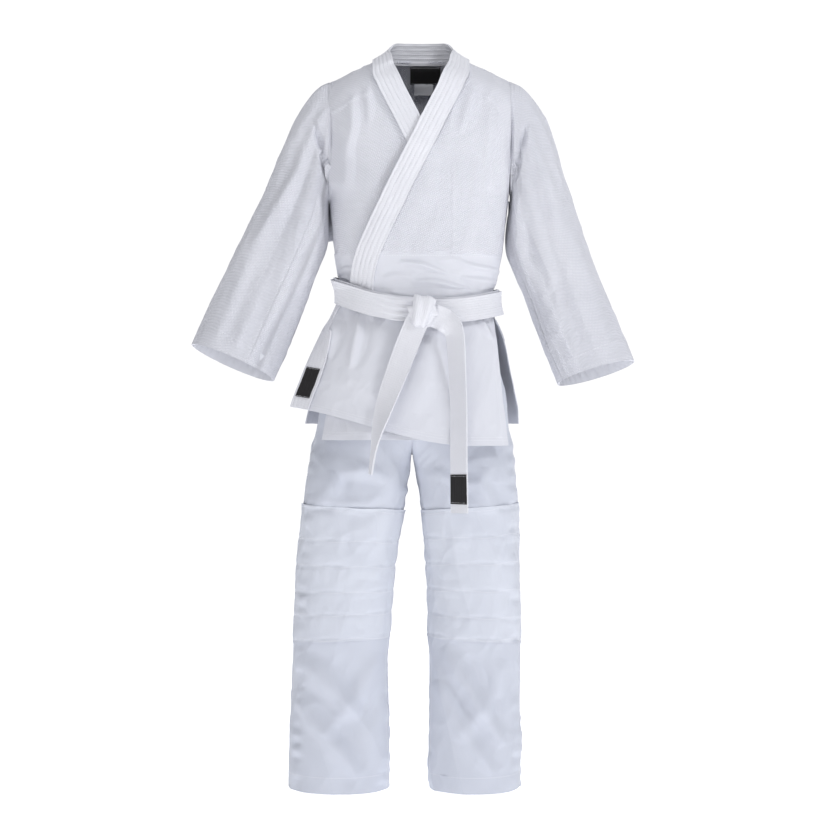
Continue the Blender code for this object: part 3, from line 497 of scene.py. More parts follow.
@dataclass
class Panel:
    """A cloth laid on a grid of points, which is its outer face."""

    name: str
    grid: Array
    thickness: Array | float
    finish: Finish
    inside: tuple[float, float, float]
    closed: bool = False
    turned: bool = False
    sewn: list[tuple[Array, Array]] = field(default_factory=list)
    normals: Array = field(init=False)

    def __post_init__(self) -> None:
        """Finds which way the cloth faces."""
        self.normals = self.facing()

    def slopes(self) -> tuple[Array, Array]:
        """The grid's steps down and across at each point.

        Returns:
            The steps down and the steps across.
        """
        down = np.gradient(self.grid, axis=0)
        if self.closed:
            across = 0.5 * (np.roll(self.grid, -1, axis=1) - np.roll(self.grid, 1, axis=1))
        else:
            across = np.gradient(self.grid, axis=1)
        return down, across

    def facing(self) -> Array:
        """Unit normals that point away from the inside.

        Returns:
            A normal for each point.
        """
        down, across = self.slopes()
        normals = np.cross(across, down)
        normals /= np.linalg.norm(normals, axis=2, keepdims=True) + 1e-12
        middle = np.array(self.inside)
        if np.sum(normals * (self.grid - middle)) < 0.0:
            normals = -normals
        return normals

    def lift(self, height: Array | float) -> None:
        """Moves the cloth along its normals.

        Args:
            height: how far, in metres, for all points or for each.
        """
        if isinstance(height, np.ndarray):
            height = height[..., None]
        self.grid = self.grid + self.normals * height
        self.normals = self.facing()

    def flat_places(self) -> tuple[Array, Array]:
        """Where each point lies on the cloth itself, in metres across and down.

        Returns:
            The places across and the places down.
        """
        across = np.linalg.norm(np.diff(self.grid, axis=1), axis=2)
        down = np.linalg.norm(np.diff(self.grid, axis=0), axis=2)
        u = np.concatenate([np.zeros((len(self.grid), 1)), np.cumsum(across, axis=1)], axis=1)
        v = np.concatenate([np.zeros((1, self.grid.shape[1])), np.cumsum(down, axis=0)], axis=0)
        return u - u.mean(axis=1, keepdims=True), v

    def mark(self, marks: Sequence[Mark], most: float = 1.0, face: int = 0) -> None:
        """Folds and wrinkles the cloth.

        Args:
            marks: the folds, gathers, seams and wrinkles.
            most: the deepest that the cloth may go in, in metres.
            face: -1 or 1 keeps the marks to the front or the back, and 0 lets them go round.
        """
        u, v = self.flat_places()
        x, z = self.grid[..., 0], self.grid[..., 2]
        height = 1.5 * sum(m.relief(x, z, u, v) for m in marks)
        height = np.maximum(height, -most)
        if face:
            height = height * ease((face * self.normals[..., 1] + 0.15) / 0.45)
        self.lift(height)

    def spots(self, down: Array, across: Array) -> tuple[Array, Array]:
        """Points and normals at shares down and across the cloth."""
        rows, columns = self.grid.shape[:2]
        r = np.clip(down, 0.0, 1.0) * (rows - 1)
        c = np.clip(across, 0.0, 1.0) * (columns - 1)
        i, j = np.minimum(r.astype(int), rows - 2), np.minimum(c.astype(int), columns - 2)
        s, t = (r - i)[:, None], (c - j)[:, None]
        found = []
        for table in (self.grid, self.normals):
            upper = mix(table[i, j], table[i, j + 1], t)
            lower = mix(table[i + 1, j], table[i + 1, j + 1], t)
            found.append(mix(upper, lower, s))
        return found[0], found[1]

    def stitch(self, down: Array | float, across: Array | float, pitch: float = 0.0046, wide: float = 0.0009) -> None:
        """Sews a row of stitches.

        Args:
            down: shares down the cloth, or one share for a level row.
            across: shares across it, or one share for an upright row.
            pitch: the length of a stitch and its gap, in metres.
            wide: the thread's width, in metres.
        """
        count, lead_in, sewn_share, shoulder = 500, 0.18, 0.64, 0.22
        even = np.linspace(0, 1, count)
        down, across = (np.full(count, line) if np.ndim(line) == 0
                        else np.interp(even, np.linspace(0, 1, len(line)), line) for line in (down, across))
        points, ways = self.spots(down, across)
        gone = np.concatenate([[0.0], np.cumsum(np.linalg.norm(np.diff(points, axis=0), axis=1))])
        number = int(gone[-1] / pitch)
        if number < 1:
            return
        starts = (np.arange(number) + lead_in) * gone[-1] / number
        ends = starts + sewn_share * gone[-1] / number

        def at(places: Array, table: Array) -> Array:
            """The table's values at places along the row."""
            return np.stack([np.interp(places, gone, table[:, k]) for k in range(3)], axis=1)

        a, b, up = at(starts, points), at(ends, points), at(0.5 * (starts + ends), ways)
        along = b - a
        along /= np.linalg.norm(along, axis=1, keepdims=True) + 1e-12
        side = np.cross(along, up) * 0.5 * wide
        rise = up * 0.5 * wide
        first, last = mix(a, b, shoulder), mix(a, b, 1.0 - shoulder)
        low = -0.15 * rise
        rings = [a + low, first + side, first + rise, first - side, first - rise,
                 last + side, last + rise, last - side, last - rise, b + low]
        verts = np.stack(rings, axis=1).reshape(-1, 3)
        faces = []
        for k in range(4):
            n = (k + 1) % 4
            faces += [(0, 1 + n, 1 + k, 1 + k), (1 + k, 1 + n, 5 + n, 5 + k), (9, 5 + k, 5 + n, 5 + n)]
        shape = np.array(faces)[None] + 10 * np.arange(number)[:, None, None]
        self.sewn.append((verts, shape.reshape(-1, 4)))

    def build(self, fitting: Fitting) -> bpy.types.Object:
        """Makes the closed mesh of the cloth with its stitches and hangs it.

        Args:
            fitting: what the cloth hangs on and stands for.

        Returns:
            The finished piece.
        """
        rows, columns = self.grid.shape[:2]
        depth = self.thickness[..., None] if isinstance(self.thickness, np.ndarray) else self.thickness
        inner = self.grid - self.normals * depth
        points = np.concatenate([self.grid.reshape(-1, 3), inner.reshape(-1, 3)])
        u, v = self.flat_places()
        if self.closed:
            girth = np.linalg.norm(self.grid[:, 0] - self.grid[:, -1], axis=1)[:, None]
            u = np.concatenate([u, u[:, -1:] + girth], axis=1)
            v = np.concatenate([v, v[:, :1]], axis=1)
        turns = columns if self.closed else columns - 1
        i, j = (t.ravel() for t in np.meshgrid(np.arange(rows - 1), np.arange(turns), indexing="ij"))
        n = (j + 1) % columns
        outer_face = np.stack([i * columns + j, i * columns + n, (i + 1) * columns + n, (i + 1) * columns + j], 1)
        places = [np.stack([np.stack([t[i, j], t[i, j + 1], t[i + 1, j + 1], t[i + 1, j]], 1) for t in (u, v)], 2)]
        down, across = self.slopes()
        turned_out = np.sum(np.cross(across, down) * self.normals) < 0.0
        faces = [outer_face]
        shift = rows * columns
        faces.append(outer_face[:, ::-1] + shift)
        places.append(places[0][:, ::-1])
        edges = [(np.arange(turns), np.zeros(turns, int), True), (np.arange(turns), np.full(turns, rows - 1), False)]
        for across_index, row, top in edges:
            a = row * columns + across_index
            b = row * columns + (across_index + 1) % columns
            quad = np.stack([b, a, a + shift, b + shift] if top else [a, b, b + shift, a + shift], 1)
            faces.append(quad)
            uv = np.stack([np.stack([t[row, across_index + (k if top else 1 - k)] for k in (1, 0, 0, 1)], 1)
                           for t in (u, v)], 2)
            places.append(uv)
        if not self.closed:
            for column, left in ((0, True), (columns - 1, False)):
                a = np.arange(rows - 1) * columns + column
                b = a + columns
                quad = np.stack([a, b, b + shift, a + shift] if left else [b, a, a + shift, b + shift], 1)
                faces.append(quad)
                index = np.arange(rows - 1)
                uv = np.stack([np.stack([t[index + (k if left else 1 - k), column] for k in (0, 1, 1, 0)], 1)
                               for t in (u, v)], 2)
                places.append(uv)
        solid, corners = np.concatenate(faces), np.concatenate(places)
        if not turned_out:
            solid, corners = solid[:, ::-1], corners[:, ::-1]
        if self.turned:
            corners = corners[..., ::-1]
        cloth_faces = len(solid)
        for verts, shape in self.sewn:
            solid = np.concatenate([solid, shape + len(points)])
            points = np.concatenate([points, verts])
            corners = np.concatenate([corners, np.zeros((len(shape), 4, 2))])
        mesh = bpy.data.meshes.new(self.name)
        listed = [tuple(dict.fromkeys(f)) for f in solid.tolist()]
        mesh.from_pydata(points.tolist(), [], listed)
        layer = mesh.uv_layers.new(name="cloth")
        flat = np.concatenate([c[:len(f)] for c, f in zip(corners, listed)])
        layer.data.foreach_set("uv", flat.astype(np.float32).ravel())
        mesh.materials.append(self.finish.material())
        if self.sewn:
            mesh.materials.append(THREAD.material())
            which = np.zeros(len(listed), np.int32)
            which[cloth_faces:] = 1
            mesh.polygons.foreach_set("material_index", which)
        mesh.shade_smooth()
        mesh.set_sharp_from_angle(angle=math.radians(60.0))
        piece = bpy.data.objects.new(self.name, mesh)
        bpy.context.scene.collection.objects.link(piece)
        fitting.fit(piece)
        cut = fitting.area or fitting.flat[0] * fitting.flat[1]
        log.info("%s: %d points, %.2f of its cut", self.name, len(points),
                 0.5 * sum(f.area for f in mesh.polygons) / cut)
        return piece


# ---- the torso's form ----------------------------------------------------------------------------


@dataclass(frozen=True)
class Torso:
    """The jacket body's form: its sections from the shoulders to the hem. Lengths are in metres."""

    neck_half: float = 0.088
    shoulder_half: float = 0.165
    shoulder_drop: float = 0.030
    neck_rise: float = 0.006
    shoulder_round: float = 0.060
    armpit_z: float = -0.246
    armhole_cut: float = 0.90
    waist_seam_z: float = -0.350
    belt_z: float = -0.4235
    hem_z: float = -0.690
    power: float = 2.4
    belt_dip: float = 0.0295
    belt_tilt: float = 0.011
    belt_width: float = 0.042
    belt_pull: float = 0.0115
    lapel_top_x: float = 0.080
    lapel_top_z: float = 0.004
    lapel_slope: float = 0.52
    lapel_low_x: float = -0.113
    under_low_x: float = 0.080
    cloth: float = 0.0022
    skirt_cloth: float = 0.0018
    band_cloth: float = 0.0036
    gap: float = 0.0014

    @property
    def top_layer(self) -> float:
        """How far the outer front stands off the body where the fronts overlap."""
        return self.cloth + self.band_cloth + 3.0 * self.gap

    @property
    def band_layer(self) -> float:
        """How far the outer lapel stands off the body."""
        return self.top_layer + self.cloth + self.gap

    def at(self, z: Array) -> tuple[Array, Array, Array]:
        """Half width, half depth and centre x of the section at a height.

        Args:
            z: the heights.

        Returns:
            The half widths, half depths and centres.
        """
        mid = mix(self.belt_z, self.hem_z, 0.60)
        table = np.array([
            (0.030, 0.165, 0.0864, 0.0), (-0.120, 0.165, 0.10476, 0.0), (self.armpit_z, 0.163, 0.108, -0.0045),
            (self.belt_z + 0.010, 0.1455, 0.092, -0.0055), (self.belt_z - 0.050, 0.1515, 0.100, -0.0062),
            (mid, 0.18239, 0.12038, -0.012), (self.hem_z - 0.020, 0.205, 0.135, -0.018)])[::-1]
        half, deep, centre = (np.interp(z, table[:, 0], table[:, k]) for k in (1, 2, 3))
        return half - self.belt_pull * bell(z - self.belt_z + 0.012, 0.040), deep, centre

    def crest(self, x: Array) -> Array:
        """Height of the shoulder's crest above a point across the body.

        Args:
            x: the places across.

        Returns:
            The height of the crest at each.
        """
        width = np.abs(x)
        neck = self.neck_rise + 0.010 * (1.0 - width / self.neck_half)
        fall, run = self.shoulder_drop + self.neck_rise, self.shoulder_half - self.neck_half
        slope = self.neck_rise - fall * (width - self.neck_half) / run
        return np.where(width <= self.neck_half, neck, slope)

    def flare_at(self, z: Array, flare: float) -> Array:
        """How far a flared skirt stands out at a height."""
        return flare * np.clip((self.belt_z - z) / (self.belt_z - self.hem_z), 0.0, 1.0)

    def depth(self, x: Array, z: Array, flare: float = 0.0) -> Array:
        """How far the body stands from the XZ plane.

        Args:
            x: the places across.
            z: their heights.
            flare: how far the hem stands out further.

        Returns:
            The depth at each place.
        """
        half, deep, centre = self.at(z)
        half, centre = half + self.flare_at(z, flare), centre - self.flare_at(z, flare)
        below = np.clip(self.crest(x) - z, 0.0, self.shoulder_round)
        cap = np.sqrt(1.0 - (1.0 - below / self.shoulder_round) ** 2)
        cut = mix(1.0, self.armhole_cut, ease((z - self.armpit_z) / 0.030))
        share = np.minimum(np.abs((x - centre) / half * cut), 1.0)
        return deep * (1.0 - share**self.power) ** (1.0 / self.power) * cap

    def lapel_x(self, z: Array) -> Array:
        """The outer lapel's centre line."""
        excess = self.lapel_top_x - self.lapel_slope * (self.lapel_top_z - z) - self.lapel_low_x
        return self.lapel_low_x + 0.5 * (excess + np.sqrt(excess * excess + 0.020**2))

    def under_x(self, z: Array) -> Array:
        """The under lapel's centre line."""
        return np.minimum(-self.lapel_x(z), self.under_low_x)

    def side_x(self, side: float) -> Height:
        """x of a side seam as a function of height."""
        return lambda z: self.at(z)[2] + side * self.at(z)[0] * 0.9994

    def grid(self, face: float, left: Height, right: Height, heights: Callable[[Array, Array], Array],
             shape: tuple[int, int], flare: float = 0.0) -> Array:
        """Points of a panel on the body.

        Args:
            face: -1 for the front and 1 for the back.
            left: x of the panel's edge on the wearer's right, at a height.
            right: x of the other edge.
            heights: height at an x and a share down.
            shape: how many points down and across.
            flare: how far the hem stands out further.

        Returns:
            The grid of points.
        """
        down, share = np.meshgrid(steps(shape[0], 0.35 / shape[0]), steps(shape[1], 0.35 / shape[1]), indexing="ij")
        start = np.full(share.shape, self.waist_seam_z)
        x = mix(left(start), right(start), share)
        z = start
        for _ in range(6):
            z = heights(x, down)
            half, _, centre = self.at(z)
            half, centre = half + self.flare_at(z, flare), centre - self.flare_at(z, flare)
            turns = [np.arcsin(np.clip((edge(z) - centre) / half, -1.0, 1.0)) for edge in (left, right)]
            x = centre + half * np.sin(mix(turns[0], turns[1], share))
        return np.stack([x, face * self.depth(x, z, flare), z], axis=2)

    def from_crest(self, low: float) -> Callable[[Array, Array], Array]:
        """Heights from the shoulder's crest to low, close together over the shoulder's round.

        Args:
            low: the height of the lower edge.

        Returns:
            The height as a function of an x and a share down.
        """

        def heights(x: Array, down: Array) -> Array:
            """Height at x and a share down."""
            round_part = 0.22
            turn = 0.5 * math.pi * np.clip(down / round_part, 0.0, 1.0)
            below = self.shoulder_round * (1.0 - np.cos(turn))
            rest = np.clip((down - round_part) / (1.0 - round_part), 0.0, 1.0)
            crest = self.crest(x)
            return mix(crest - below, low, rest)

        return heights

    def tuck(self, grid: Array, lift: Array | float) -> Array:
        """A lift off the body that is held in under the belt.

        Args:
            grid: points on the body.
            lift: how far they stand off away from the belt.

        Returns:
            How far each one stands off.
        """
        x, z = grid[..., 0], grid[..., 2]
        half, _, centre = self.at(z)
        angle = np.arcsin(np.clip((x - centre) / half, -1.0, 1.0))
        low = self.belt_height(angle) - 0.5 * self.belt_width
        held = np.minimum(lift, self.belt_clear(angle) - 0.0010)
        return mix(lift * np.ones(z.shape), held, ease((z - low + 0.006) / 0.010))

    def belt_height(self, angle: Array) -> Array:
        """Height of the belt's centre line at an angle from the front, positive to the wearer's left."""
        return self.belt_z - self.belt_dip * np.maximum(np.cos(angle), 0.0) ** 2 - self.belt_tilt * np.sin(angle)

    def belt_clear(self, angle: Array) -> Array:
        """How far the belt stands off the body."""
        front = ease((np.cos(angle) + 0.12) / 0.58)
        return mix(self.skirt_cloth + 0.001, self.band_layer + self.band_cloth, front) + self.gap


TORSO = Torso()


# ---- the jacket ----------------------------------------------------------------------------------


@dataclass
class JacketBody:
    """Back, fronts and waist of the jacket, as far as the belt."""

    thickness: float = 0.0019
    under_belt_z: float = -0.452
    facing_near_x: float = 0.058
    facing_top_z: float = -0.190

    def over(self, down: Array, share: Array) -> Array:
        """How far the outer front stands off the body."""
        return TORSO.top_layer * ease(down) * ease((1.0 - share) / 0.26)

    def yoke_marks(self, side: float) -> list[Mark]:
        """The seam below one shoulder and the gathers beside it.

        Args:
            side: 1 for the wearer's left and -1 for the right.

        Returns:
            The marks.
        """
        near, far = side * 0.078, side * 0.163
        path = ((near, -0.052), (mix(near, far, 0.5), -0.068), (far, -0.092))
        return [Welt(path, 0.0009, 0.008), Pucker(path, 0.0011, 0.012, 0.011, 31)]

    def build_back(self) -> None:
        """The back, from the shoulders to the waist seam, with the neck cut for the collar."""
        grid = TORSO.grid(1.0, TORSO.side_x(-1.0), TORSO.side_x(1.0), TORSO.from_crest(TORSO.waist_seam_z),
                          (150, 130))
        x, y, z = (grid[..., k] for k in range(3))
        width = np.abs(x)
        neck_y = np.interp(width, (0.0, 0.056, 0.086, 0.090), (0.0585, 0.0455, 0.017, 0.0))
        neck_z = np.interp(width, (0.0, 0.056, 0.086, 0.095), (0.017, 0.016, 0.011, 0.001))
        near = ease((0.094 - width) / 0.010)
        rows = np.linspace(0.0, 1.0, len(grid))[:, None]
        pull = near * ease((0.30 - rows) / 0.30)
        lower_y = np.maximum(y, neck_y + 0.10 * rows)
        grid[..., 1] = mix(y, mix(neck_y, lower_y, ease(rows / 0.22)), pull)
        grid[..., 2] = mix(z, mix(neck_z, z, ease(rows / 0.26)), near)
        panel = Panel("jacket_back", grid, self.thickness, GRAIN, (0.0, 0.0, -0.2))
        panel.lift(self.thickness)
        panel.mark([Rumple(0.0016, 0.16, 0.055, 0.1, 5), Rumple(0.0005, 0.03, 0.02, 0.4, 6),
                    Welt(((-0.165, -0.105), (0.0, -0.088), (0.165, -0.105)), 0.0009, 0.008),
                    Welt(((0.0, -0.09), (0.0, -0.35)), 0.0008, 0.010),
                    Crease(((-0.10, -0.33), (-0.02, -0.30), (0.08, -0.33)), 0.003, 0.012),
                    Crease(((-0.13, -0.16), (-0.10, -0.24), (-0.11, -0.32)), 0.003, 0.016),
                    Crease(((0.12, -0.15), (0.10, -0.23), (0.12, -0.31)), 0.003, 0.016)], 0.001)
        for across in (0.487, 0.513):
            panel.stitch(steps(2) * 0.75 + 0.25, across)
        panel.build(Fitting(("back_panel", "yoke_back"), "jacket", (0.40, 0.38), "hung", ("neck_hold",), 0.13))

    def build_fronts(self) -> None:
        """The under front and the outer front, over the chest."""
        heights = TORSO.from_crest(TORSO.waist_seam_z)
        grid = TORSO.grid(-1.0, TORSO.side_x(-1.0), TORSO.under_x, heights, (150, 120))
        under = Panel("front_under", grid, self.thickness, GRAIN, (0.0, 0.0, -0.2))
        under.lift(self.thickness)
        under.mark([Rumple(0.0010, 0.15, 0.045, 0.05, 11), Rumple(0.0004, 0.03, 0.02, 0.4, 12),
                    Crease(((-0.128, -0.060), (-0.122, -0.110), (-0.132, -0.175)), 0.0050, 0.011),
                    Crease(((-0.098, -0.045), (-0.094, -0.085), (-0.100, -0.140)), 0.0032, 0.010),
                    Crease(((-0.146, -0.110), (-0.134, -0.180), (-0.140, -0.250)), 0.0032, 0.013),
                    Crease(((-0.152, -0.380), (-0.138, -0.372), (-0.124, -0.374)), 0.0022, 0.005),
                    *self.yoke_marks(-1.0)], 0.0008)
        under.build(Fitting(("front_right_panel", "yoke_right"), "jacket", (0.26, 0.37), "hung", ("jacket_back",),
                            0.080))
        grid = TORSO.grid(-1.0, TORSO.lapel_x, TORSO.side_x(1.0), heights, (170, 170))
        share = np.linspace(0.0, 1.0, grid.shape[1])[None, :]
        below = np.clip(TORSO.crest(grid[..., 0]) - grid[..., 2], 0.0, 1.0)
        outer = Panel("front_outer", grid, self.thickness, GRAIN, (0.0, 0.0, -0.2))
        outer.lift(self.over(below / 0.055, share) + self.thickness)
        facing = ((self.facing_near_x, self.facing_top_z), (self.facing_near_x, TORSO.waist_seam_z))
        outer.mark([Rumple(0.0011, 0.17, 0.05, -0.05, 21), Rumple(0.0004, 0.03, 0.02, -0.3, 22),
                    Crease(((0.094, -0.040), (0.086, -0.085), (0.068, -0.135)), 0.0042, 0.010),
                    Crease(((0.124, -0.050), (0.126, -0.110), (0.118, -0.185)), 0.0046, 0.012),
                    Crease(((0.148, -0.075), (0.146, -0.130), (0.150, -0.200)), 0.0036, 0.010),
                    Crease(((0.105, -0.150), (0.100, -0.210), (0.108, -0.290)), 0.0024, 0.018),
                    Crease(((0.020, -0.150), (0.010, -0.220), (-0.010, -0.290)), 0.0018, 0.020),
                    Crease(((0.055, -0.352), (0.095, -0.366), (0.142, -0.376)), 0.0024, 0.006),
                    Welt(facing, 0.0007, 0.006), Pucker(facing, 0.0006, 0.006, 0.010, 23),
                    *self.yoke_marks(1.0)], 0.0010)
        panel_edge = (self.facing_near_x - TORSO.lapel_low_x) / 0.30
        outer.stitch(np.linspace(0.50, 0.995, 40), np.linspace(panel_edge + 0.06, panel_edge + 0.0, 40))
        outer.build(Fitting(("front_left_panel", "yoke_left", "chest_facing_left"), "jacket", (0.32, 0.37), "hung",
                            ("jacket_back",), 0.100))

    def build_waist(self) -> None:
        """The smooth cloth from the waist seam to under the belt."""
        seam, low = TORSO.waist_seam_z + 0.004, self.under_belt_z

        def heights(x: Array, down: Array) -> Array:
            """Height at x and a share down."""
            return mix(seam, low, down)

        stretches = (("waist_behind", 1.0, TORSO.side_x(-1.0), TORSO.side_x(1.0), ("waist_back",), 0.0008, 0.046),
                     ("waist_under", -1.0, TORSO.side_x(-1.0), TORSO.under_x, ("waist_front_right",), 0.0009, 0.026),
                     ("waist_outer", -1.0, TORSO.lapel_x, TORSO.side_x(1.0), ("waist_front_left",), 0.0010, 0.034))
        for name, face, near, far, nodes, most, area in stretches:
            grid = TORSO.grid(face, near, far, heights, (70, 170))
            panel = Panel(name, grid, 0.0015, SMOOTH, (0.0, 0.0, -0.4))
            share = np.linspace(0.0, 1.0, grid.shape[1])[None, :]
            off = 0.0015 + 0.0004
            if name == "waist_outer":
                off = off + TORSO.top_layer * ease((1.0 - share) / 0.26) * np.ones(grid.shape[:2])
            panel.lift(off)
            marks = [Rumple(0.0012, 0.09, 0.022, 1.45, 41),
                     Pucker(((-0.15, -0.400), (0.0, -0.440), (0.15, -0.405)), 0.0016, 0.016, 0.013, 42)]
            if name == "waist_outer":
                marks += [Crease(((-0.040, -0.366), (0.005, -0.372), (0.052, -0.391)), 0.0042, 0.0055, 0.7),
                          Crease(((-0.018, -0.402), (0.030, -0.402), (0.090, -0.418)), 0.0046, 0.0060, 0.7),
                          Crease(((0.060, -0.362), (0.100, -0.374), (0.146, -0.380)), 0.0036, 0.0060, 0.6),
                          Crease(((0.070, -0.395), (0.110, -0.398), (0.140, -0.400)), 0.0030, 0.0060, 0.5),
                          Crease(((-0.070, -0.396), (-0.040, -0.392), (-0.010, -0.398)), 0.0022, 0.0060, 0.5)]
            if name == "waist_under":
                marks += [Crease(((-0.150, -0.382), (-0.138, -0.376), (-0.120, -0.378)), 0.0030, 0.0050, 0.6),
                          Crease(((-0.150, -0.398), (-0.142, -0.392), (-0.128, -0.402)), 0.0026, 0.0040, 0.6)]
            before = panel.grid.copy()
            panel.mark(marks, most)
            half, _, centre = TORSO.at(before[..., 2])
            angle = np.arcsin(np.clip((before[..., 0] - centre) / half, -1.0, 1.0))
            belt_top = TORSO.belt_height(angle) + 0.5 * TORSO.belt_width
            panel.grid = mix(panel.grid, before, ease((belt_top + 0.006 - before[..., 2]) / 0.006)[..., None])
            panel.lift(0.0)
            for down in (0.035, 0.075):
                panel.stitch(down, steps(2))
            panel.build(Fitting(nodes, "jacket", (0.32, 0.16), "gathered", ("belt_outer",), area))

    def build_gussets(self) -> None:
        """The small panels behind the armpits."""
        for wearer, side in (("left", 1.0), ("right", -1.0)):
            low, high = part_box(f"underarm_gusset_{wearer}")
            down, share = np.meshgrid(steps(40, 0.01), steps(24, 0.02), indexing="ij")
            far = mix(0.1640, 0.1800 if side < 0.0 else 0.1690, share)
            x = side * (far - 0.006 * ease((down - 0.6) / 0.4) * share)
            y = mix(0.030, float(high.y) - 0.001, share) + 0.002 * np.sin(9.0 * down)
            z = mix(float(high.z) + 0.012, float(low.z), down)
            panel = Panel(f"gusset_{wearer}", np.stack([x, y, z], 2), 0.0013, GRAIN, (0.0, 1.0, -0.27))
            panel.mark([Rumple(0.0006, 0.03, 0.012, 0.0, 51)], 0.0004)
            panel.stitch(0.93, steps(2))
            panel.build(Fitting((f"underarm_gusset_{wearer}",), "jacket", (0.022, 0.075), "hung", ("jacket_back",)))

    def build(self) -> None:
        """All of the body."""
        self.build_back()
        self.build_fronts()
        self.build_waist()
        self.build_gussets()


@dataclass
class Collar:
    """The quilted band: one length from hem to hem round the neck, here as far as the belt on each side."""

    width: float = 0.043
    thickness: float = 0.0034
    rows: int = 5
    across: int = 46
    back_y: float = 0.058
    rise: float = 0.050
    lean: float = 0.026

    def lapel_row(self, centre: Height, z: float, over: float) -> tuple[Array, Array]:
        """The free edge and the seam edge of a lapel at a height, over fronts that stand off the body.

        Args:
            centre: the middle line's x, at a height.
            z: the height.
            over: how far the front stands off the body.

        Returns:
            The two points.
        """
        z_here = np.array([z - 0.002, z, z + 0.002])
        slope = float((centre(z_here)[2] - centre(z_here)[0]) / 0.004)
        run = math.hypot(1.0, slope)
        ends = []
        for side in (-0.5, 0.5):
            x = float(centre(z_here)[1]) + side * self.width / run
            height = z - side * self.width * slope / run
            depth = float(TORSO.depth(np.array(x), np.array(height)))
            low = float(TORSO.depth(np.array(x), np.array(height - 0.004)))
            tip = math.atan2(low - depth, 0.004)
            below = float(TORSO.crest(np.array(x))) - height
            lift = over * float(ease(below / 0.055)) + TORSO.cloth + self.thickness + 0.0026
            ends.append(np.array([x, -depth - lift * math.cos(tip), height + lift * math.sin(tip)]))
        return ends[0], ends[1]

    def neck_edges(self) -> list[tuple[Array, Array]]:
        """(free edge, seam edge) points round the neck, from the wearer's left to the right.

        Returns:
            The pairs of points.
        """
        reach = TORSO.neck_half - 0.002
        halves = []
        for side in (1.0, -1.0):
            halves.append([
                (np.array([side * (reach - self.lean - 0.008), -0.064, 0.008]),
                 np.array([side * (reach + 0.0025), -0.068, -0.0070])),
                (np.array([side * (reach - self.lean - 0.005), -0.034, 0.022]),
                 np.array([side * (reach + 0.0030), -0.032, 0.0095])),
                (np.array([side * (reach - self.lean - 0.001), 0.010, 0.035]),
                 np.array([side * (reach + 0.001), 0.016, 0.0125])),
                (np.array([side * 0.049, self.back_y - 0.022, self.rise - 0.002]),
                 np.array([side * 0.057, self.back_y - 0.013, 0.0105])),
                (np.array([side * 0.028, self.back_y - 0.009, self.rise]),
                 np.array([side * 0.032, self.back_y - 0.002, 0.0100]))])
        middle = [(np.array([0.0, self.back_y - 0.006, self.rise]), np.array([0.0, self.back_y, 0.0100]))]
        return halves[0] + middle + halves[1][::-1]

    def rows_of(self, wearer: str) -> list[tuple[Array, Array]]:
        """(free edge, seam edge) points down one lapel, from the shoulder to the belt.

        Args:
            wearer: "left" or "right", as the wearer has it.

        Returns:
            The pairs of points.
        """
        centre = TORSO.lapel_x if wearer == "left" else TORSO.under_x
        over = TORSO.top_layer if wearer == "left" else 0.0006
        made = []
        for share in np.linspace(0.0, 1.0, 34):
            z = mix(-0.019, TORSO.belt_z - 0.010, share)
            free, seam = self.lapel_row(centre, z, over)
            if wearer == "right":
                free, seam = seam, free
            made.append((free, seam))
        return made

    def build(self) -> None:
        """One continuous band with its rows of stitching."""
        left, right = self.rows_of("left"), self.rows_of("right")
        edges = left[::-1] + self.neck_edges() + right
        free = smooth_path([e[0] for e in edges], 560)
        seam = smooth_path([e[1] for e in edges], 560)
        share = steps(self.across, 0.012)[None, :, None]
        grid = mix(free[:, None, :], seam[:, None, :], share)
        bow = 0.0010 * np.sin(math.pi * share[..., 0]) * np.ones((len(grid), 1))
        panel = Panel("collar_band", grid, self.thickness, BAND, (0.0, 0.0, 0.0), turned=False)
        outward = panel.normals.copy()
        middle = len(grid) // 2
        if outward[middle, self.across // 2, 1] < 0.0:
            outward = -outward
        panel.normals = outward
        band = np.linspace(0.0, self.width, self.across)[None, :]
        groove = sum(bell(band - row, 0.0011) for row in np.linspace(0.0045, self.width - 0.0045, self.rows))
        u, v = panel.flat_places()
        creep = 0.0004 * soft_noise(v / 0.012, u / 0.004 + 3.0, 61)
        panel.grid = panel.grid + outward * ((bow - 0.0010 * groove + creep)[..., None])
        panel.normals = outward
        for row in np.linspace(0.0045, self.width - 0.0045, self.rows):
            panel.stitch(steps(2), np.array([row / self.width] * 2), 0.0050, 0.0010)
        panel.build(Fitting(("collar_back_band", "lapel_left_band", "lapel_right_band"), "jacket", (0.043, 1.25),
                            "folded", ("jacket_back", "front_outer", "front_under")))


@dataclass
class Labels:
    """The woven neck label and the size tag below it."""

    label: tuple[float, float] = (0.056, 0.031)
    tag: tuple[float, float] = (0.035, 0.020)
    x: float = 0.008
    top_z: float = 0.006

    def build(self) -> None:
        """Both labels, stitched inside the back of the neck."""
        stretches = (("neck_patch", "neck_label", DARK, self.label, self.top_z, self.x),
                     ("size_patch", "size_tag", TAG, self.tag, self.top_z - self.label[1] + 0.001, self.x - 0.003))
        for name, node, finish, size, top, x_middle in stretches:
            low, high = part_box(node)
            down, share = np.meshgrid(steps(22, 0.02), steps(30, 0.02), indexing="ij")
            x = x_middle + size[0] * (share - 0.5)
            z = top - size[1] * down
            y = mix(float(low.y), float(high.y), ease(down)) - 0.0010 * np.sin(math.pi * share)
            panel = Panel(name, np.stack([x, y, z], 2), 0.0007, finish, (0.0, 1.0, -0.01))
            panel.mark([Rumple(0.0003, 0.02, 0.012, 0.3, 71)], 0.0003)
            for down_share in (0.07, 0.93) if finish is DARK else (0.06,):
                panel.stitch(down_share, steps(2) * 0.92 + 0.04, 0.0030, 0.0006)
            panel.build(Fitting((node,), "jacket", size, "hung", ("collar_band",)))


# ---- sleeves -------------------------------------------------------------------------------------


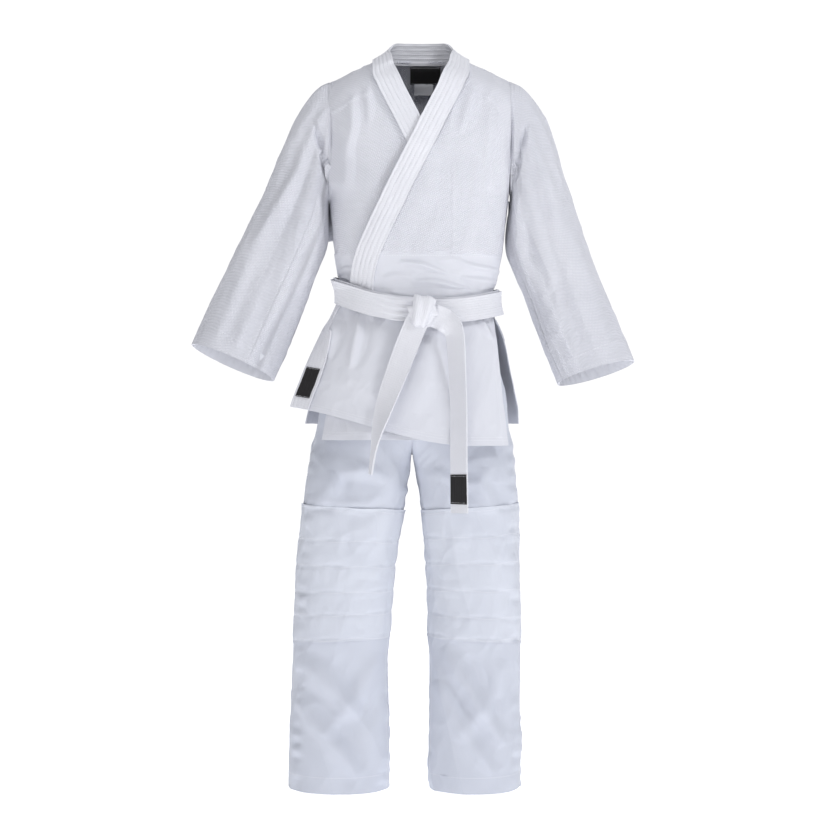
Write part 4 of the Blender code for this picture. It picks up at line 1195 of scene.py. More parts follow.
@dataclass
class Sleeve:
    """One sleeve, from the armhole to the cuff, with the facing inside the cuff."""

    wearer: str
    side: float
    angle: float
    top_line: tuple[tuple[float, float], ...]
    under_line: tuple[tuple[float, float], ...]
    length: float = 0.440
    cuff_depth: float = 0.098
    root_depth: float = 0.128
    root_x: float = 0.1724
    armhole: float = 0.221
    thickness: float = 0.0019
    cuff_drop: float = 0.013
    hem: float = 0.034

    def curves(self, share: Array) -> tuple[Array, Array, Array, Array]:
        """Top points, underarm points, half depths and the way down the sleeve, at shares of its length.

        Args:
            share: shares of the length.

        Returns:
            The four of them, in that order.
        """
        lines = []
        for places in (self.top_line, self.under_line):
            path = smooth_path([(x, 0.0, z) for x, z in places], 300)
            gone = np.concatenate([[0.0], np.cumsum(np.linalg.norm(np.diff(path, axis=0), axis=1))])
            lines.append(np.stack([np.interp(share * gone[-1], gone, path[:, k]) for k in range(3)], axis=1))
        cuff = np.array([self.top_line[-1], self.under_line[-1]])
        across = cuff[0] - cuff[1]
        across /= np.hypot(*across)
        down = np.array([across[1], 0.0, -across[0]])
        return lines[0], lines[1], 0.5 * mix(self.root_depth, self.cuff_depth, share), down

    def tube(self, share: Array, count: int, inset: float = 0.0) -> Array:
        """Closed rows round the sleeve at shares of its length.

        Args:
            share: shares of the length.
            count: how many points go round.
            inset: how far inside the cloth the rows lie.

        Returns:
            The grid of points.
        """
        top, low, depth, down = self.curves(share)
        angle = np.linspace(0.0, 2.0 * math.pi, count, endpoint=False)
        middle, reach = 0.5 * (top + low), 0.5 * (top - low)
        reach = reach * (1.0 - inset / np.linalg.norm(reach, axis=1, keepdims=True))
        rows = middle[:, None, :] + reach[:, None, :] * np.cos(angle)[None, :, None]
        rows[..., 1] += (depth - inset)[:, None] * np.sin(angle)[None, :]
        longer = ease((share - 0.80) / 0.20)[:, None] * (0.2 + 0.8 * np.sin(angle))[None, :]
        rows = rows + down[None, None, :] * (self.cuff_drop * longer)[..., None]
        return rows * np.array([self.side, 1.0, 1.0])

    def root_ring(self, count: int) -> Array:
        """The armhole's edge on the body.

        Args:
            count: how many points go round.

        Returns:
            The points.
        """
        angle = np.linspace(0.0, 2.0 * math.pi, count, endpoint=False)
        z = -TORSO.shoulder_drop - 0.5 * self.armhole * (1.0 - np.cos(angle))
        x = self.side * np.full(count, 0.1640)
        y = np.sign(np.sin(angle)) * (TORSO.depth(x, z) + 0.0026)
        y = np.where(np.abs(np.sin(angle)) < 1e-6, 0.0, y)
        return np.stack([x, y, z + 0.0022 * np.cos(angle)], axis=1)

    def marks(self) -> list[Mark]:
        """Folds down the sleeve, in x and z.

        Returns:
            The marks.
        """
        s = self.side

        def place(share: float, across: float) -> tuple[float, float]:
            """x and z at a share of the sleeve's length, and across it from the underarm (0) to the top (1)."""
            top, low, _, _ = self.curves(np.array([share]))
            point = mix(low[0], top[0], across)
            return (s * float(point[0]), float(point[2]))

        lines = (((0.02, 0.80), (0.25, 0.72), (0.50, 0.66), 0.0040, 0.011),
                 ((0.05, 0.55), (0.30, 0.42), (0.62, 0.38), 0.0045, 0.014),
                 ((0.30, 0.80), (0.60, 0.80), (0.95, 0.76), 0.0034, 0.016),
                 ((0.40, 0.20), (0.66, 0.26), (0.98, 0.34), 0.0046, 0.016),
                 ((0.12, 0.26), (0.34, 0.14), (0.56, 0.10), 0.0050, 0.012),
                 ((0.62, 0.58), (0.80, 0.55), (0.99, 0.52), 0.0036, 0.015),
                 ((0.04, 0.92), (0.20, 0.88), (0.40, 0.90), 0.0030, 0.010))
        made = [Crease(tuple(place(*p) for p in (a, b, c)), high, wide, 0.55) for a, b, c, high, wide in lines]
        return made

    def build(self) -> None:
        """The sleeve and its cuff's facing."""
        count = 176
        share = np.linspace(0.0, 1.0, 168)
        share[-2] = 0.997
        tube = self.tube(share, count)
        ring = self.root_ring(count)
        join = ease(np.linspace(0.0, 1.0, 9)[:-1])[:, None, None]
        start = mix(ring[None], tube[:1], join)
        grid = np.concatenate([start, tube])
        inside = tuple(grid[80].mean(axis=0))
        panel = Panel(f"sleeve_cloth_{self.wearer}", grid, self.thickness, GRAIN, inside, closed=True)
        down = np.linspace(0.0, 1.0, len(grid))[:, None] * np.ones((1, count))
        panel.lift(self.thickness * ease(down / 0.05))
        before = panel.grid.copy()
        seed = 80 if self.side > 0.0 else 90
        panel.mark([Rumple(0.0024, 0.20, 0.045, 0.0, seed), Rumple(0.0006, 0.035, 0.022, 0.2, seed + 4),
                    *self.marks()], 0.006)
        keep = (ease(down / 0.06) * (1.0 - 0.55 * ease((down - 0.93) / 0.07)))[..., None]
        panel.grid = mix(before, panel.grid, keep)
        panel.lift(0.0)
        armpit = self.side * 0.1960
        seam_low = (self.side * 0.1700, -0.215)
        panel.mark([Crease(((armpit, -0.108), (self.side * 0.180, -0.165), seam_low), -0.0090, 0.0055, 0.0)],
                   0.012, -1)
        turn = np.linspace(0.0, 1.0, 300)
        for offset in (0.928, 0.988):
            panel.stitch(np.full(300, offset), turn * 0.996, 0.0048, 0.0010)
        near_x, near_z = self.root_x - 0.004, -0.10
        lean = math.radians(self.angle)
        reach = 0.085
        start_at = (self.side * near_x, 0.0, near_z)
        end_at = (self.side * (near_x + reach * math.cos(lean * 0.5)), 0.0,
                  near_z - reach * math.sin(lean * 0.5) * 1.5)
        panel.build(Fitting((f"sleeve_{self.wearer}",), "jacket", (0.45, 0.46), "hung", ("front_outer",), 0.17,
                            f"sleeve_{self.wearer}", start_at, end_at))
        hem_share = np.linspace(1.0 - self.hem / self.length, 0.998, 26)
        facing = Panel(f"cuff_lining_{self.wearer}", self.tube(hem_share, 150, 0.0012), 0.0011, SMOOTH, inside,
                       closed=True)
        edge = np.linspace(0.0, 1.0, 26)[:, None]
        angle = np.linspace(0.0, 2.0 * math.pi, 150, endpoint=False)[None, :]
        gathers = 0.0011 * (np.sin(34.0 * angle + 2.0 * soft_noise(angle * 4.0, angle * 0.0, seed)) - 1.0)
        facing.lift(gathers * np.sin(math.pi * np.clip(edge, 0.05, 1.0)) * np.ones((26, 150)))
        facing.build(Fitting((f"cuff_facing_{self.wearer}",), f"sleeve_{self.wearer}", (0.43, 0.034), "folded",
                             (f"sleeve_cloth_{self.wearer}",)))


# ---- skirt ---------------------------------------------------------------------------------------


@dataclass
class Skirt:
    """The jacket below the belt: two fronts, the lapel band's end with its badge, and the back."""

    flare: float = 0.018
    layer: float = 0.006
    thickness: float = 0.0015
    free_x: float = -0.235
    free_z: float = -0.628
    vent_x: float = 0.152
    inner_vent_x: float = -0.179
    back_hem_z: float = -0.660
    start_z: float = -0.430

    def edge(self, top_x: float, low_x: float, low_z: float) -> Height:
        """x of an edge that runs straight from the belt to a point at low_z."""
        return lambda z: mix(top_x, low_x, np.clip((TORSO.belt_z - z) / (TORSO.belt_z - low_z), 0.0, 1.2))

    def outer_hem(self, x: Array) -> Array:
        """Height of the outer front's hem."""
        share = (x - self.free_x) / (self.vent_x - self.free_x)
        return mix(self.free_z, TORSO.hem_z - 0.010, ease(0.12 + share / 0.95))

    def fitting(self, nodes: tuple[str, ...], second: str, flat: tuple[float, float], area: float | None,
                on: str) -> Fitting:
        """A skirt piece's fitting, which names the jacket, a second part and two points under the belt; such a piece
        is baked in place.
        """
        return Fitting(nodes, "jacket", flat, "hung", (on,), area, second, (0.0, 0.0, -0.468), (0.0, 0.0, -0.540))

    def flatten(self, grid: Array) -> Array:
        """The outer front's points with its free edge standing straight off the hip.

        Args:
            grid: the points, which are changed.

        Returns:
            The same points.
        """
        x, y, z = (grid[..., k] for k in range(3))
        half, deep, centre = TORSO.at(z)
        stand = TORSO.flare_at(z, self.flare)
        share = (x - centre + stand) / (half + stand)
        straight = -deep * (0.693 - 1.10 * (-0.80 - share))
        free = ease((TORSO.belt_z - 0.010 - z) / 0.170)
        grid[..., 1] = np.where(share < -0.80, mix(y, np.minimum(straight, y), free), y)
        return grid

    def build_front(self) -> None:
        """The outer front, the front under it, the band's end and the badge."""
        half, _, centre = (float(t) for t in TORSO.at(np.array(TORSO.belt_z)))
        free = self.edge(centre - half * 0.985, self.free_x, self.free_z)
        vent = self.edge(centre + half * 0.94, self.vent_x, TORSO.hem_z)

        def heights(x: Array, down: Array) -> Array:
            """Height of the outer front at x and a share down."""
            return mix(self.start_z, self.outer_hem(x), down)

        grid = self.flatten(TORSO.grid(-1.0, free, vent, heights, (130, 170), self.flare))
        outer = Panel("skirt_outer", grid, self.thickness, SMOOTH, (0.0, 0.0, -0.58))
        outer.lift(TORSO.tuck(outer.grid, self.layer + self.thickness))
        belt_line = ((-0.150, -0.440), (-0.075, -0.458), (0.0, -0.474), (0.08, -0.468), (0.150, -0.452))
        outer.mark([Rumple(0.0014, 0.14, 0.050, 0.0, 101), Rumple(0.0004, 0.03, 0.02, 0.3, 102),
                    Pucker(belt_line, 0.0026, 0.026, 0.016, 103),
                    Crease(((-0.112, -0.450), (-0.114, -0.490), (-0.128, -0.560)), 0.0048, 0.0085, 0.6),
                    Crease(((-0.150, -0.440), (-0.156, -0.480), (-0.172, -0.540)), 0.0036, 0.0080, 0.6),
                    Crease(((0.104, -0.462), (0.114, -0.482), (0.128, -0.505)), 0.0046, 0.0060, 0.7),
                    Crease(((0.010, -0.500), (0.006, -0.560), (-0.010, -0.640)), 0.0030, 0.022, 0.6),
                    Crease(((0.050, -0.500), (0.048, -0.580), (0.050, -0.670)), 0.0026, 0.018, 0.6),
                    Crease(((-0.060, -0.620), (-0.100, -0.600), (-0.150, -0.560)), 0.0020, 0.016, 0.5),
                    Welt(((0.1435, -0.46), (0.1440, -0.68)), 0.0007, 0.010)], 0.0022)
        for offset in (0.945, 0.965):
            outer.stitch(offset, steps(2))
        outer.stitch(steps(2), np.array([0.966, 0.972]))
        outer.build(self.fitting(("skirt_front_outer",), "front_skirt", (0.40, 0.27), 0.090, "belt_outer"))

        near = self.edge(centre - half * 0.96, self.inner_vent_x, TORSO.hem_z)
        far = self.edge(0.060, 0.085, TORSO.hem_z)
        grid = TORSO.grid(-1.0, near, far, lambda x, down: mix(self.start_z, TORSO.hem_z + 0.001, down), (110, 120))
        inner = Panel("skirt_inner", grid, self.thickness, SMOOTH, (0.0, 0.0, -0.58))
        inner.lift(self.thickness)
        inner.mark([Rumple(0.0012, 0.12, 0.045, 0.0, 111), Rumple(0.0004, 0.03, 0.02, 0.3, 112)], 0.0008)
        for offset in (0.945, 0.965):
            inner.stitch(offset, steps(2))
        inner.stitch(steps(2), np.array([0.035, 0.035]))
        inner.build(self.fitting(("skirt_front_inner",), "front_skirt", (0.26, 0.26), None, "belt_outer"))

        layer = self.layer + self.thickness + 0.0012

        wide = self.flatten(TORSO.grid(-1.0, free, lambda z: free(z) + 0.060, heights, (200, 90), self.flare))
        gone = np.concatenate([np.zeros((200, 1)), np.cumsum(np.linalg.norm(np.diff(wide, axis=1), axis=2), axis=1)],
                              axis=1)
        width = 0.042 * steps(40, 0.012)
        grid = np.stack([[np.interp(width, g, row[:, k]) for g, row in zip(gone, wide)] for k in range(3)], axis=2)
        band = Panel("band_end", grid, 0.0030, BAND, (0.0, 0.0, -0.58))
        across = np.linspace(0.0, 1.0, 40)[None, :]
        groove = sum(bell(across - row, 0.026) for row in (0.10, 0.30, 0.50, 0.70, 0.90))
        band.lift(TORSO.tuck(band.grid, layer + 0.0030) - 0.0007 * groove * np.ones((200, 1)))
        band.mark([Crease(((-0.150, -0.440), (-0.156, -0.480), (-0.172, -0.540)), 0.0030, 0.0080, 0.3),
                   Rumple(0.0006, 0.05, 0.03, 0.2, 121)], 0.0006)
        for row in (0.10, 0.30, 0.50, 0.70, 0.90):
            band.stitch(steps(2), np.array([row, row]), 0.0050, 0.0009)
        band.build(self.fitting(("skirt_lapel_band",), "front_skirt", (0.042, 0.24), None, "skirt_outer"))

        low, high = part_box("jacket_badge")
        middle = band.grid[:, 20, 2]
        first, last = (int(np.argmin(np.abs(middle - z))) for z in (float(high.z) - 0.004, float(low.z)))
        badge = Panel("badge_jacket", band.grid[first:last, 5:35].copy(), 0.0009, DARK, (0.0, 0.0, -0.58))
        badge.lift(0.0013)
        badge.stitch(0.03, steps(2), 0.0030, 0.0006)
        badge.stitch(0.97, steps(2), 0.0030, 0.0006)
        badge.build(Fitting(("jacket_badge",), "front_skirt", (0.031, 0.058), "laid", ("band_end",)))

    def build_back(self) -> None:
        """The back of the skirt and the reinforcement at each vent."""
        grid = TORSO.grid(1.0, TORSO.side_x(-1.0), TORSO.side_x(1.0),
                          lambda x, down: mix(self.start_z, self.back_hem_z, down), (100, 150))
        back = Panel("skirt_behind", grid, self.thickness, SMOOTH, (0.0, 0.0, -0.58))
        back.lift(self.thickness)
        back.mark([Rumple(0.0020, 0.15, 0.045, 0.0, 131),
                   Pucker(((-0.15, -0.448), (0.0, -0.446), (0.15, -0.450)), 0.0020, 0.030, 0.018, 132),
                   Crease(((-0.090, -0.455), (-0.100, -0.540), (-0.120, -0.650)), 0.0060, 0.016, 0.6),
                   Crease(((0.085, -0.455), (0.098, -0.540), (0.118, -0.650)), 0.0060, 0.016, 0.6),
                   Crease(((0.010, -0.455), (0.004, -0.540), (0.010, -0.650)), 0.0050, 0.020, 0.6)], 0.0020)
        for offset in (0.935, 0.960):
            back.stitch(offset, steps(2))
        back.build(Fitting(("skirt_back",), "jacket", (0.44, 0.23), "hung", ("belt_outer",), None, "back_skirt",
                           (0.0, 0.0, -0.450), (0.0, 0.0, -0.520)))
        for wearer, side in (("left", 1.0), ("right", -1.0)):
            low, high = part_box(f"vent_patch_{wearer}")
            columns = slice(-14, -1) if side > 0.0 else slice(1, 14)
            rows = slice(*(int(np.argmin(np.abs(back.grid[:, 75, 2] - z))) for z in (float(high.z), float(low.z))))
            patch = Panel(f"vent_stay_{wearer}", back.grid[rows, columns].copy(), 0.0009, SMOOTH, (0.0, 0.0, -0.58))
            patch.lift(0.0012)
            patch.stitch(0.06, steps(2) * 0.9 + 0.05, 0.0032, 0.0008)
            patch.stitch(0.94, steps(2) * 0.9 + 0.05, 0.0032, 0.0008)
            patch.build(Fitting((f"vent_patch_{wearer}",), "back_skirt", (0.036, 0.040), "laid", ("skirt_behind",),
                                None))

    def build(self) -> None:
        """All of the skirt."""
        self.build_front()
        self.build_back()


# ---- belt ----------------------------------------------------------------------------------------


@dataclass
class Belt:
    """Two turns round the waist, the knot and the two hanging ends."""

    width: float = 0.042
    thickness: float = 0.0028
    rows: int = 9
    knot_x: float = 0.003
    knot_size: tuple[float, float, float] = (0.044, 0.024, 0.056)

    def grooves(self, share: Array) -> Array:
        """Depth of the rows of stitching at shares across the belt."""
        return sum(bell((share - row) * self.width, 0.0008) for row in np.linspace(0.08, 0.92, self.rows))

    def front_y(self) -> float:
        """y of the belt's outer face at the centre of the front."""
        depth = float(TORSO.at(np.array(TORSO.belt_z - TORSO.belt_dip - 0.5 * self.width))[1])
        return -(depth + float(TORSO.belt_clear(np.array(0.0))) + 0.0060 + TORSO.gap)

    def build_turns(self) -> None:
        """The inner and the outer turn."""
        stretches = (("belt_inner", "belt_inner_turn", 0.0, 0.0015, 141), ("belt_outer", "belt_outer_turn", 0.0050,
                                                                          -0.0015, 142))
        for name, node, layer, shift, seed in stretches:
            count = 380
            angle = np.linspace(0.0, 2.0 * math.pi, count, endpoint=False)[None, :]
            share = steps(52, 0.008)[:, None]
            z = TORSO.belt_height(angle) + (0.5 - share) * self.width
            half, deep, centre = TORSO.at(z)
            power = 2.0 / TORSO.power
            x = centre + half * np.sign(np.sin(angle)) * np.abs(np.sin(angle)) ** power
            y = -deep * np.sign(np.cos(angle)) * np.abs(np.cos(angle)) ** power
            panel = Panel(name, np.stack([x, y, z + shift], 2), self.thickness, BELTING,
                          (0.0, 0.0, TORSO.belt_z), closed=True, turned=True)
            panel.normals[..., 2] = 0.0
            panel.normals /= np.linalg.norm(panel.normals, axis=2, keepdims=True)
            near_knot = bell(np.minimum(angle, 2.0 * math.pi - angle), 0.30)
            soft = 0.0003 * soft_noise(angle * 9.0, share * 2.0 + 3.0, seed) * np.ones(share.shape)
            pinch = near_knot * 0.0016 * np.sin(math.pi * 7.0 * share + 2.0 * np.sin(angle * 8.0))
            panel.lift(TORSO.belt_clear(angle) + layer + self.thickness + soft + pinch
                       - 0.00045 * self.grooves(share) * np.ones(angle.shape))
            panel.build(Fitting((node,), "jacket", (self.width, 0.92), "folded", ("waist_outer",)))

    def build_knot(self) -> None:
        """The knot: a length of belt wrapped once over the crossing."""
        middle = np.array([self.knot_x, self.front_y() - 0.5 * 0.026 - TORSO.gap, float(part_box("belt_knot")[0].z
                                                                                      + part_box("belt_knot")[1].z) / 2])
        count, width = 120, 60
        angle = np.linspace(0.0, 2.0 * math.pi, count, endpoint=False)[:, None]
        share = steps(width, 0.010)[None, :]
        half = np.array(self.knot_size) * 0.5
        power = 0.72
        up = np.sign(np.sin(angle)) * np.abs(np.sin(angle)) ** power
        front = np.sign(np.cos(angle)) * np.abs(np.cos(angle)) ** power
        low_share = 0.5 - 0.5 * up
        reach = mix(0.92, 0.52, low_share**1.5) * (2.0 * share - 1.0)
        shift = mix(0.006, -0.009, low_share)
        roll = 1.0 - 0.85 * np.abs(2.0 * share - 1.0) ** 4.0
        x = middle[0] + half[0] * reach + shift
        z = middle[2] + half[2] * up * (1.0 - 0.10 * (2.0 * share - 1.0) ** 2) - 0.004 * (2.0 * share - 1.0)
        y = middle[1] - half[1] * front * roll
        panel = Panel("knot_wrap", np.transpose(np.stack([x, y, z], 2), (1, 0, 2)), 0.0030, BELTING,
                      tuple(middle), closed=True)
        rows = share.T * np.ones((1, count))
        folds = 0.0012 * np.sin(3.0 * math.pi * rows + 1.5 * np.sin(angle.T)) * np.ones((width, count))
        panel.lift(folds - 0.00045 * self.grooves(rows))
        panel.build(Fitting(("belt_knot",), "jacket", (0.042, 0.15), "folded", ("belt_outer",), None))
        for name, tilt, drop, long, wide, stand in (("knot_cross", 0.28, 0.000, 0.050, 0.030, 0.003),
                                                    ("knot_core", -0.50, -0.004, 0.044, 0.034, 0.001)):
            down, along = np.meshgrid(steps(40, 0.012), steps(70, 0.010), indexing="ij")
            run, rise = (along - 0.5) * long, (0.5 - down) * wide
            bulge = np.sqrt(np.maximum(1.0 - (2.0 * down - 1.0) ** 4, 0.0))
            ends = np.sin(math.pi * np.clip(along, 0.04, 0.96)) ** 0.4
            x = middle[0] + run * math.cos(tilt) - rise * math.sin(tilt)
            z = middle[2] + drop + run * math.sin(tilt) + rise * math.cos(tilt)
            y = middle[1] + 0.004 - (stand + 0.006 * bulge) * ends
            piece = Panel(name, np.stack([x, y, z], 2), 0.0028, BELTING, (middle[0], 1.0, middle[2]), turned=True)
            piece.lift(-0.0004 * self.grooves(down))
            piece.build(Fitting((), "jacket", (0.042, 0.06), "folded", ("belt_outer",), 0.00200))

    def strip(self, places: Sequence[Sequence[float]], facings: Sequence[float], count: int) -> Array:
        """Rows of a belt end.

        Args:
            places: (x, y, z) of its centre line.
            facings: the angle from the front that it faces, in degrees, at each place.
            count: how many rows to make.

        Returns:
            The grid of points.
        """
        line = smooth_path(places, count)
        turn = np.radians(smooth_path([[a] for a in facings], count)[:, 0])
        tangent = np.gradient(line, axis=0)
        tangent /= np.linalg.norm(tangent, axis=1, keepdims=True)
        flat = np.stack([np.cos(turn), -np.sin(turn), np.zeros(count)], 1)
        flat -= tangent * np.sum(flat * tangent, axis=1, keepdims=True)
        flat /= np.linalg.norm(flat, axis=1, keepdims=True)
        share = steps(40, 0.012)[None, :, None]
        return line[:, None, :] + flat[:, None, :] * (share - 0.5) * self.width

    def part_root(self, tail: Panel, wearer: str, z: float = -0.485) -> Panel:
        """Builds a belt end's first stretch, which stays with the knot, and returns the rest.

        Args:
            tail: the whole belt end.
            wearer: "left" or "right", as the wearer has it.
            z: the height that parts the two.

        Returns:
            The rest of the belt end.
        """
        row = int(np.argmax(tail.grid[:, 20, 2] < z))
        root = Panel(f"tail_root_{wearer}", tail.grid[:row + 1], self.thickness, BELTING, tail.inside)
        length = float(np.sum(np.linalg.norm(np.diff(root.grid[:, 20], axis=0), axis=1)))
        root.build(Fitting((), "jacket", (self.width, max(length, 0.012)), "folded", ("belt_outer",)))
        return Panel(tail.name, tail.grid[row:], self.thickness, BELTING, tail.inside)

    def build_tails(self) -> None:
        """Both belt ends and the badge on the wearer's left one."""
        start_y = self.front_y() - 0.5 * 0.026

        def stand(x: float, z: float, off: float) -> tuple[float, float, float]:
            """A place in front of everything on the skirt."""
            depth = float(TORSO.depth(np.array(x), np.array(min(z, TORSO.belt_z - 0.03)), 0.018))
            return (x, min(-depth - 0.0206, start_y) - off, z)

        top = float(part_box("belt_knot")[0].z) - 0.003
        low = top - 0.332
        places = [(0.020, start_y + 0.004, top + 0.024), (0.040, start_y + 0.001, top + 0.016),
                  stand(0.056, top + 0.000, 0.005), stand(0.062, mix(top, low, 0.10), 0.006),
                  stand(0.066, mix(top, low, 0.42), 0.008), stand(0.067, mix(top, low, 0.75), 0.010),
                  stand(0.068, low, 0.010)]
        grid = self.strip(places, (8.0, 12.0, 32.0, 42.0, 46.0, 48.0, 46.0), 240)
        bodies = ("front_skirt", "belt_tail_left")
        left = Panel("tail_left", grid, self.thickness, BELTING, (0.2, 0.3, -0.65))
        share = steps(40)[None, :] * np.ones((240, 1))
        left.lift(-0.0004 * self.grooves(share) + 0.0008 * soft_noise(share * 1.5, np.linspace(0, 9, 240)[:, None]
                                                                      * np.ones((1, 40)), 151))
        left = self.part_root(left, "left")
        for edge in (0.04, 0.96):
            left.stitch(steps(2), np.array([edge, edge]), 0.0046, 0.0008)
        left.build(Fitting(("belt_tail_left",), bodies[0], (self.width, 0.39), "hung", ("knot_wrap",), None,
                           bodies[1], (0.0, 0.0, -0.484), (0.0, 0.0, -0.520)))
        middle = left.grid[:, 20, 2]
        first, last = (int(np.argmin(np.abs(middle - z))) for z in (low + 0.069, low + 0.014))
        rows = left.grid[first:last, 1:39]
        badge = Panel("badge_belt", rows.copy(), 0.0009, DARK, (0.2, 0.3, -0.65))
        badge.lift(0.0012)
        badge.stitch(0.05, steps(2), 0.0030, 0.0006)
        badge.stitch(0.95, steps(2), 0.0030, 0.0006)
        badge.build(Fitting(("belt_badge",), "belt_tail_left", (0.041, 0.055), "laid", ("tail_left",)))

        low = top - 0.262
        places = [(-0.002, start_y + 0.001, top + 0.020), stand(-0.013, top, 0.001),
                  stand(-0.036, mix(top, low, 0.22), 0.008), stand(-0.066, mix(top, low, 0.53), 0.012),
                  stand(-0.083, mix(top, low, 0.78), 0.013), stand(-0.092, low, 0.012)]
        grid = self.strip(places, (2.0, 5.0, 14.0, 40.0, 72.0, 82.0), 200)
        right = Panel("tail_right", grid, self.thickness, BELTING, (0.05, 0.3, -0.6))
        share = steps(40)[None, :] * np.ones((200, 1))
        right.lift(-0.0004 * self.grooves(share) + 0.0008 * soft_noise(share * 1.5, np.linspace(0, 8, 200)[:, None]
                                                                       * np.ones((1, 40)), 152))
        right = self.part_root(right, "right")
        for edge in (0.04, 0.96):
            right.stitch(steps(2), np.array([edge, edge]), 0.0046, 0.0008)
        right.build(Fitting(("belt_tail_right",), "front_skirt", (self.width, 0.29), "hung", ("knot_wrap",), None,
                            "belt_tail_right", (0.0, 0.0, -0.484), (0.0, 0.0, -0.520)))

    def build(self) -> None:
        """All of the belt."""
        self.build_turns()
        self.build_knot()
        self.build_tails()


# ---- trousers ------------------------------------------------------------------------------------


@dataclass
class Trousers:
    """Hips, legs, waistband, knee patches and hems."""

    waist_z: float = -0.398
    band_height: float = 0.040
    crotch_z: float = -0.724
    crotch_x: float = -0.0167
    hem_z: float = -1.330
    hem_width: float = 0.166
    left_centres: tuple[float, ...] = (0.0990, 0.0990, 0.0990, 0.0980, 0.0945, 0.0888, 0.0820, 0.0775)
    left_widths: tuple[float, ...] = (0.166, 0.166, 0.165, 0.167, 0.169, 0.172, 0.179, 0.184)
    right_centres: tuple[float, ...] = (-0.1520, -0.1500, -0.1490, -0.1406, -0.1341, -0.1260, -0.1160, -0.1110)
    right_widths: tuple[float, ...] = (0.185, 0.181, 0.172, 0.174, 0.178, 0.181, 0.186, 0.185)
    top_depth: float = 0.092
    hem_depth: float = 0.062
    apart: float = 0.004
    knee_top_z: float = -0.812
    knee_low_z: float = -1.060
    thickness: float = 0.0012

    def hips(self, turn: Array, z: Array, face: float) -> Array:
        """Points of the hips at a turn (-1 wearer's right, 1 left) and a height.

        Args:
            turn: the turns.
            z: the heights.
            face: -1 for the front and 1 for the back.

        Returns:
            The points.
        """
        table = np.array([(self.waist_z, 0.128, 0.078, -0.0055),
                          (mix(self.waist_z, self.crotch_z, 0.36), 0.137, 0.083, -0.007),
                          (mix(self.waist_z, self.crotch_z, 0.62), 0.166, 0.096, -0.012),
                          (self.crotch_z, 0.183, 0.104, self.crotch_x - 0.001)])[::-1]
        half, deep, centre = (np.interp(z, table[:, 0], table[:, k]) for k in (1, 2, 3))
        share = np.sin(0.5 * math.pi * turn)
        depth = deep * (1.0 - np.minimum(np.abs(share), 1.0) ** 2.4) ** (1.0 / 2.4)
        return np.stack([centre + half * share, face * depth, z], axis=-1)

    def leg(self, side: float, swing: Array, z: Array, face: float) -> Array:
        """Points of a leg at a turn (-1 at its right side, 1 at its left) and a height.

        Args:
            side: 1 for the wearer's left and -1 for the right.
            swing: the turns.
            z: the heights.
            face: -1 for the front and 1 for the back.

        Returns:
            The points.
        """
        share = np.clip((self.crotch_z - z) / (self.crotch_z - self.hem_z), 0.0, 1.0)
        early = ease(share / 0.45)
        heights = (-1.340, -1.219, -1.086, -0.953, -0.886, -0.820, -0.753, -0.690)
        centre = np.interp(z, heights, self.left_centres if side > 0.0 else self.right_centres)
        width = np.interp(z, heights, self.left_widths if side > 0.0 else self.right_widths)
        deep = mix(self.top_depth, self.hem_depth, ease(share / 0.8))
        power = mix(3.2, 2.2, early)
        across = np.sin(0.5 * math.pi * swing)
        depth = deep * (1.0 - np.minimum(np.abs(across), 1.0) ** power) ** (1.0 / power)
        return np.stack([centre + 0.5 * width * across, face * depth, z], axis=-1)

    def half_grid(self, side: float, face: float, shape: tuple[int, int], top: float, low: float) -> Array:
        """Front or back of one half, from the centre seam and inseam to the side seam.

        Args:
            side: 1 for the wearer's left and -1 for the right.
            face: -1 for the front and 1 for the back.
            shape: how many points down and across.
            top: height of the upper edge.
            low: height of the hem.

        Returns:
            The grid of points.
        """
        down, share = np.meshgrid(steps(shape[0], 0.004), steps(shape[1], 0.004), indexing="ij")
        z = mix(top, low, down)
        hip = self.hips(side * mix(0.001, 0.999, share), z, face)
        swing = side * mix(-0.999, 0.999, share)
        leg = self.leg(side, swing, z, face)
        change = ease((-0.665 - z) / 0.105)[..., None]
        grid = mix(hip, leg, change)
        drop = 0.007 * ease((self.hem_z + 0.25 - z) / 0.25) * np.sin(math.pi * share)
        grid[..., 2] -= drop
        return grid

    def folds(self, side: float) -> list[Mark]:
        """The folds on the front of one leg.

        Args:
            side: 1 for the wearer's left and -1 for the right.

        Returns:
            The folds.
        """
        if side > 0.0:
            lines = ((((0.040, -1.068), (0.085, -1.140), (0.150, -1.250)), 0.0070, 0.018),
                     (((0.030, -1.130), (0.070, -1.210), (0.130, -1.300)), 0.0058, 0.016),
                     (((0.150, -1.090), (0.120, -1.170), (0.060, -1.240)), 0.0040, 0.018),
                     (((0.020, -0.745), (0.060, -0.765), (0.110, -0.770)), 0.0034, 0.012),
                     (((0.030, -0.770), (0.070, -0.800), (0.130, -0.815)), 0.0024, 0.012),
                     (((0.120, -0.740), (0.110, -0.775), (0.140, -0.820)), 0.0034, 0.014))
        else:
            lines = ((((-0.233, -1.148), (-0.196, -1.200), (-0.116, -1.306)), 0.0070, 0.018),
                     (((-0.220, -1.085), (-0.175, -1.130), (-0.110, -1.200)), 0.0052, 0.018),
                     (((-0.075, -1.080), (-0.110, -1.150), (-0.180, -1.230)), 0.0042, 0.018),
                     (((-0.060, -0.760), (-0.100, -0.745), (-0.150, -0.752)), 0.0034, 0.012),
                     (((-0.070, -0.790), (-0.110, -0.805), (-0.180, -0.800)), 0.0026, 0.012),
                     (((-0.160, -0.745), (-0.165, -0.775), (-0.190, -0.815)), 0.0034, 0.014))
        return [Crease(path, high, wide, 0.7) for path, high, wide in lines]

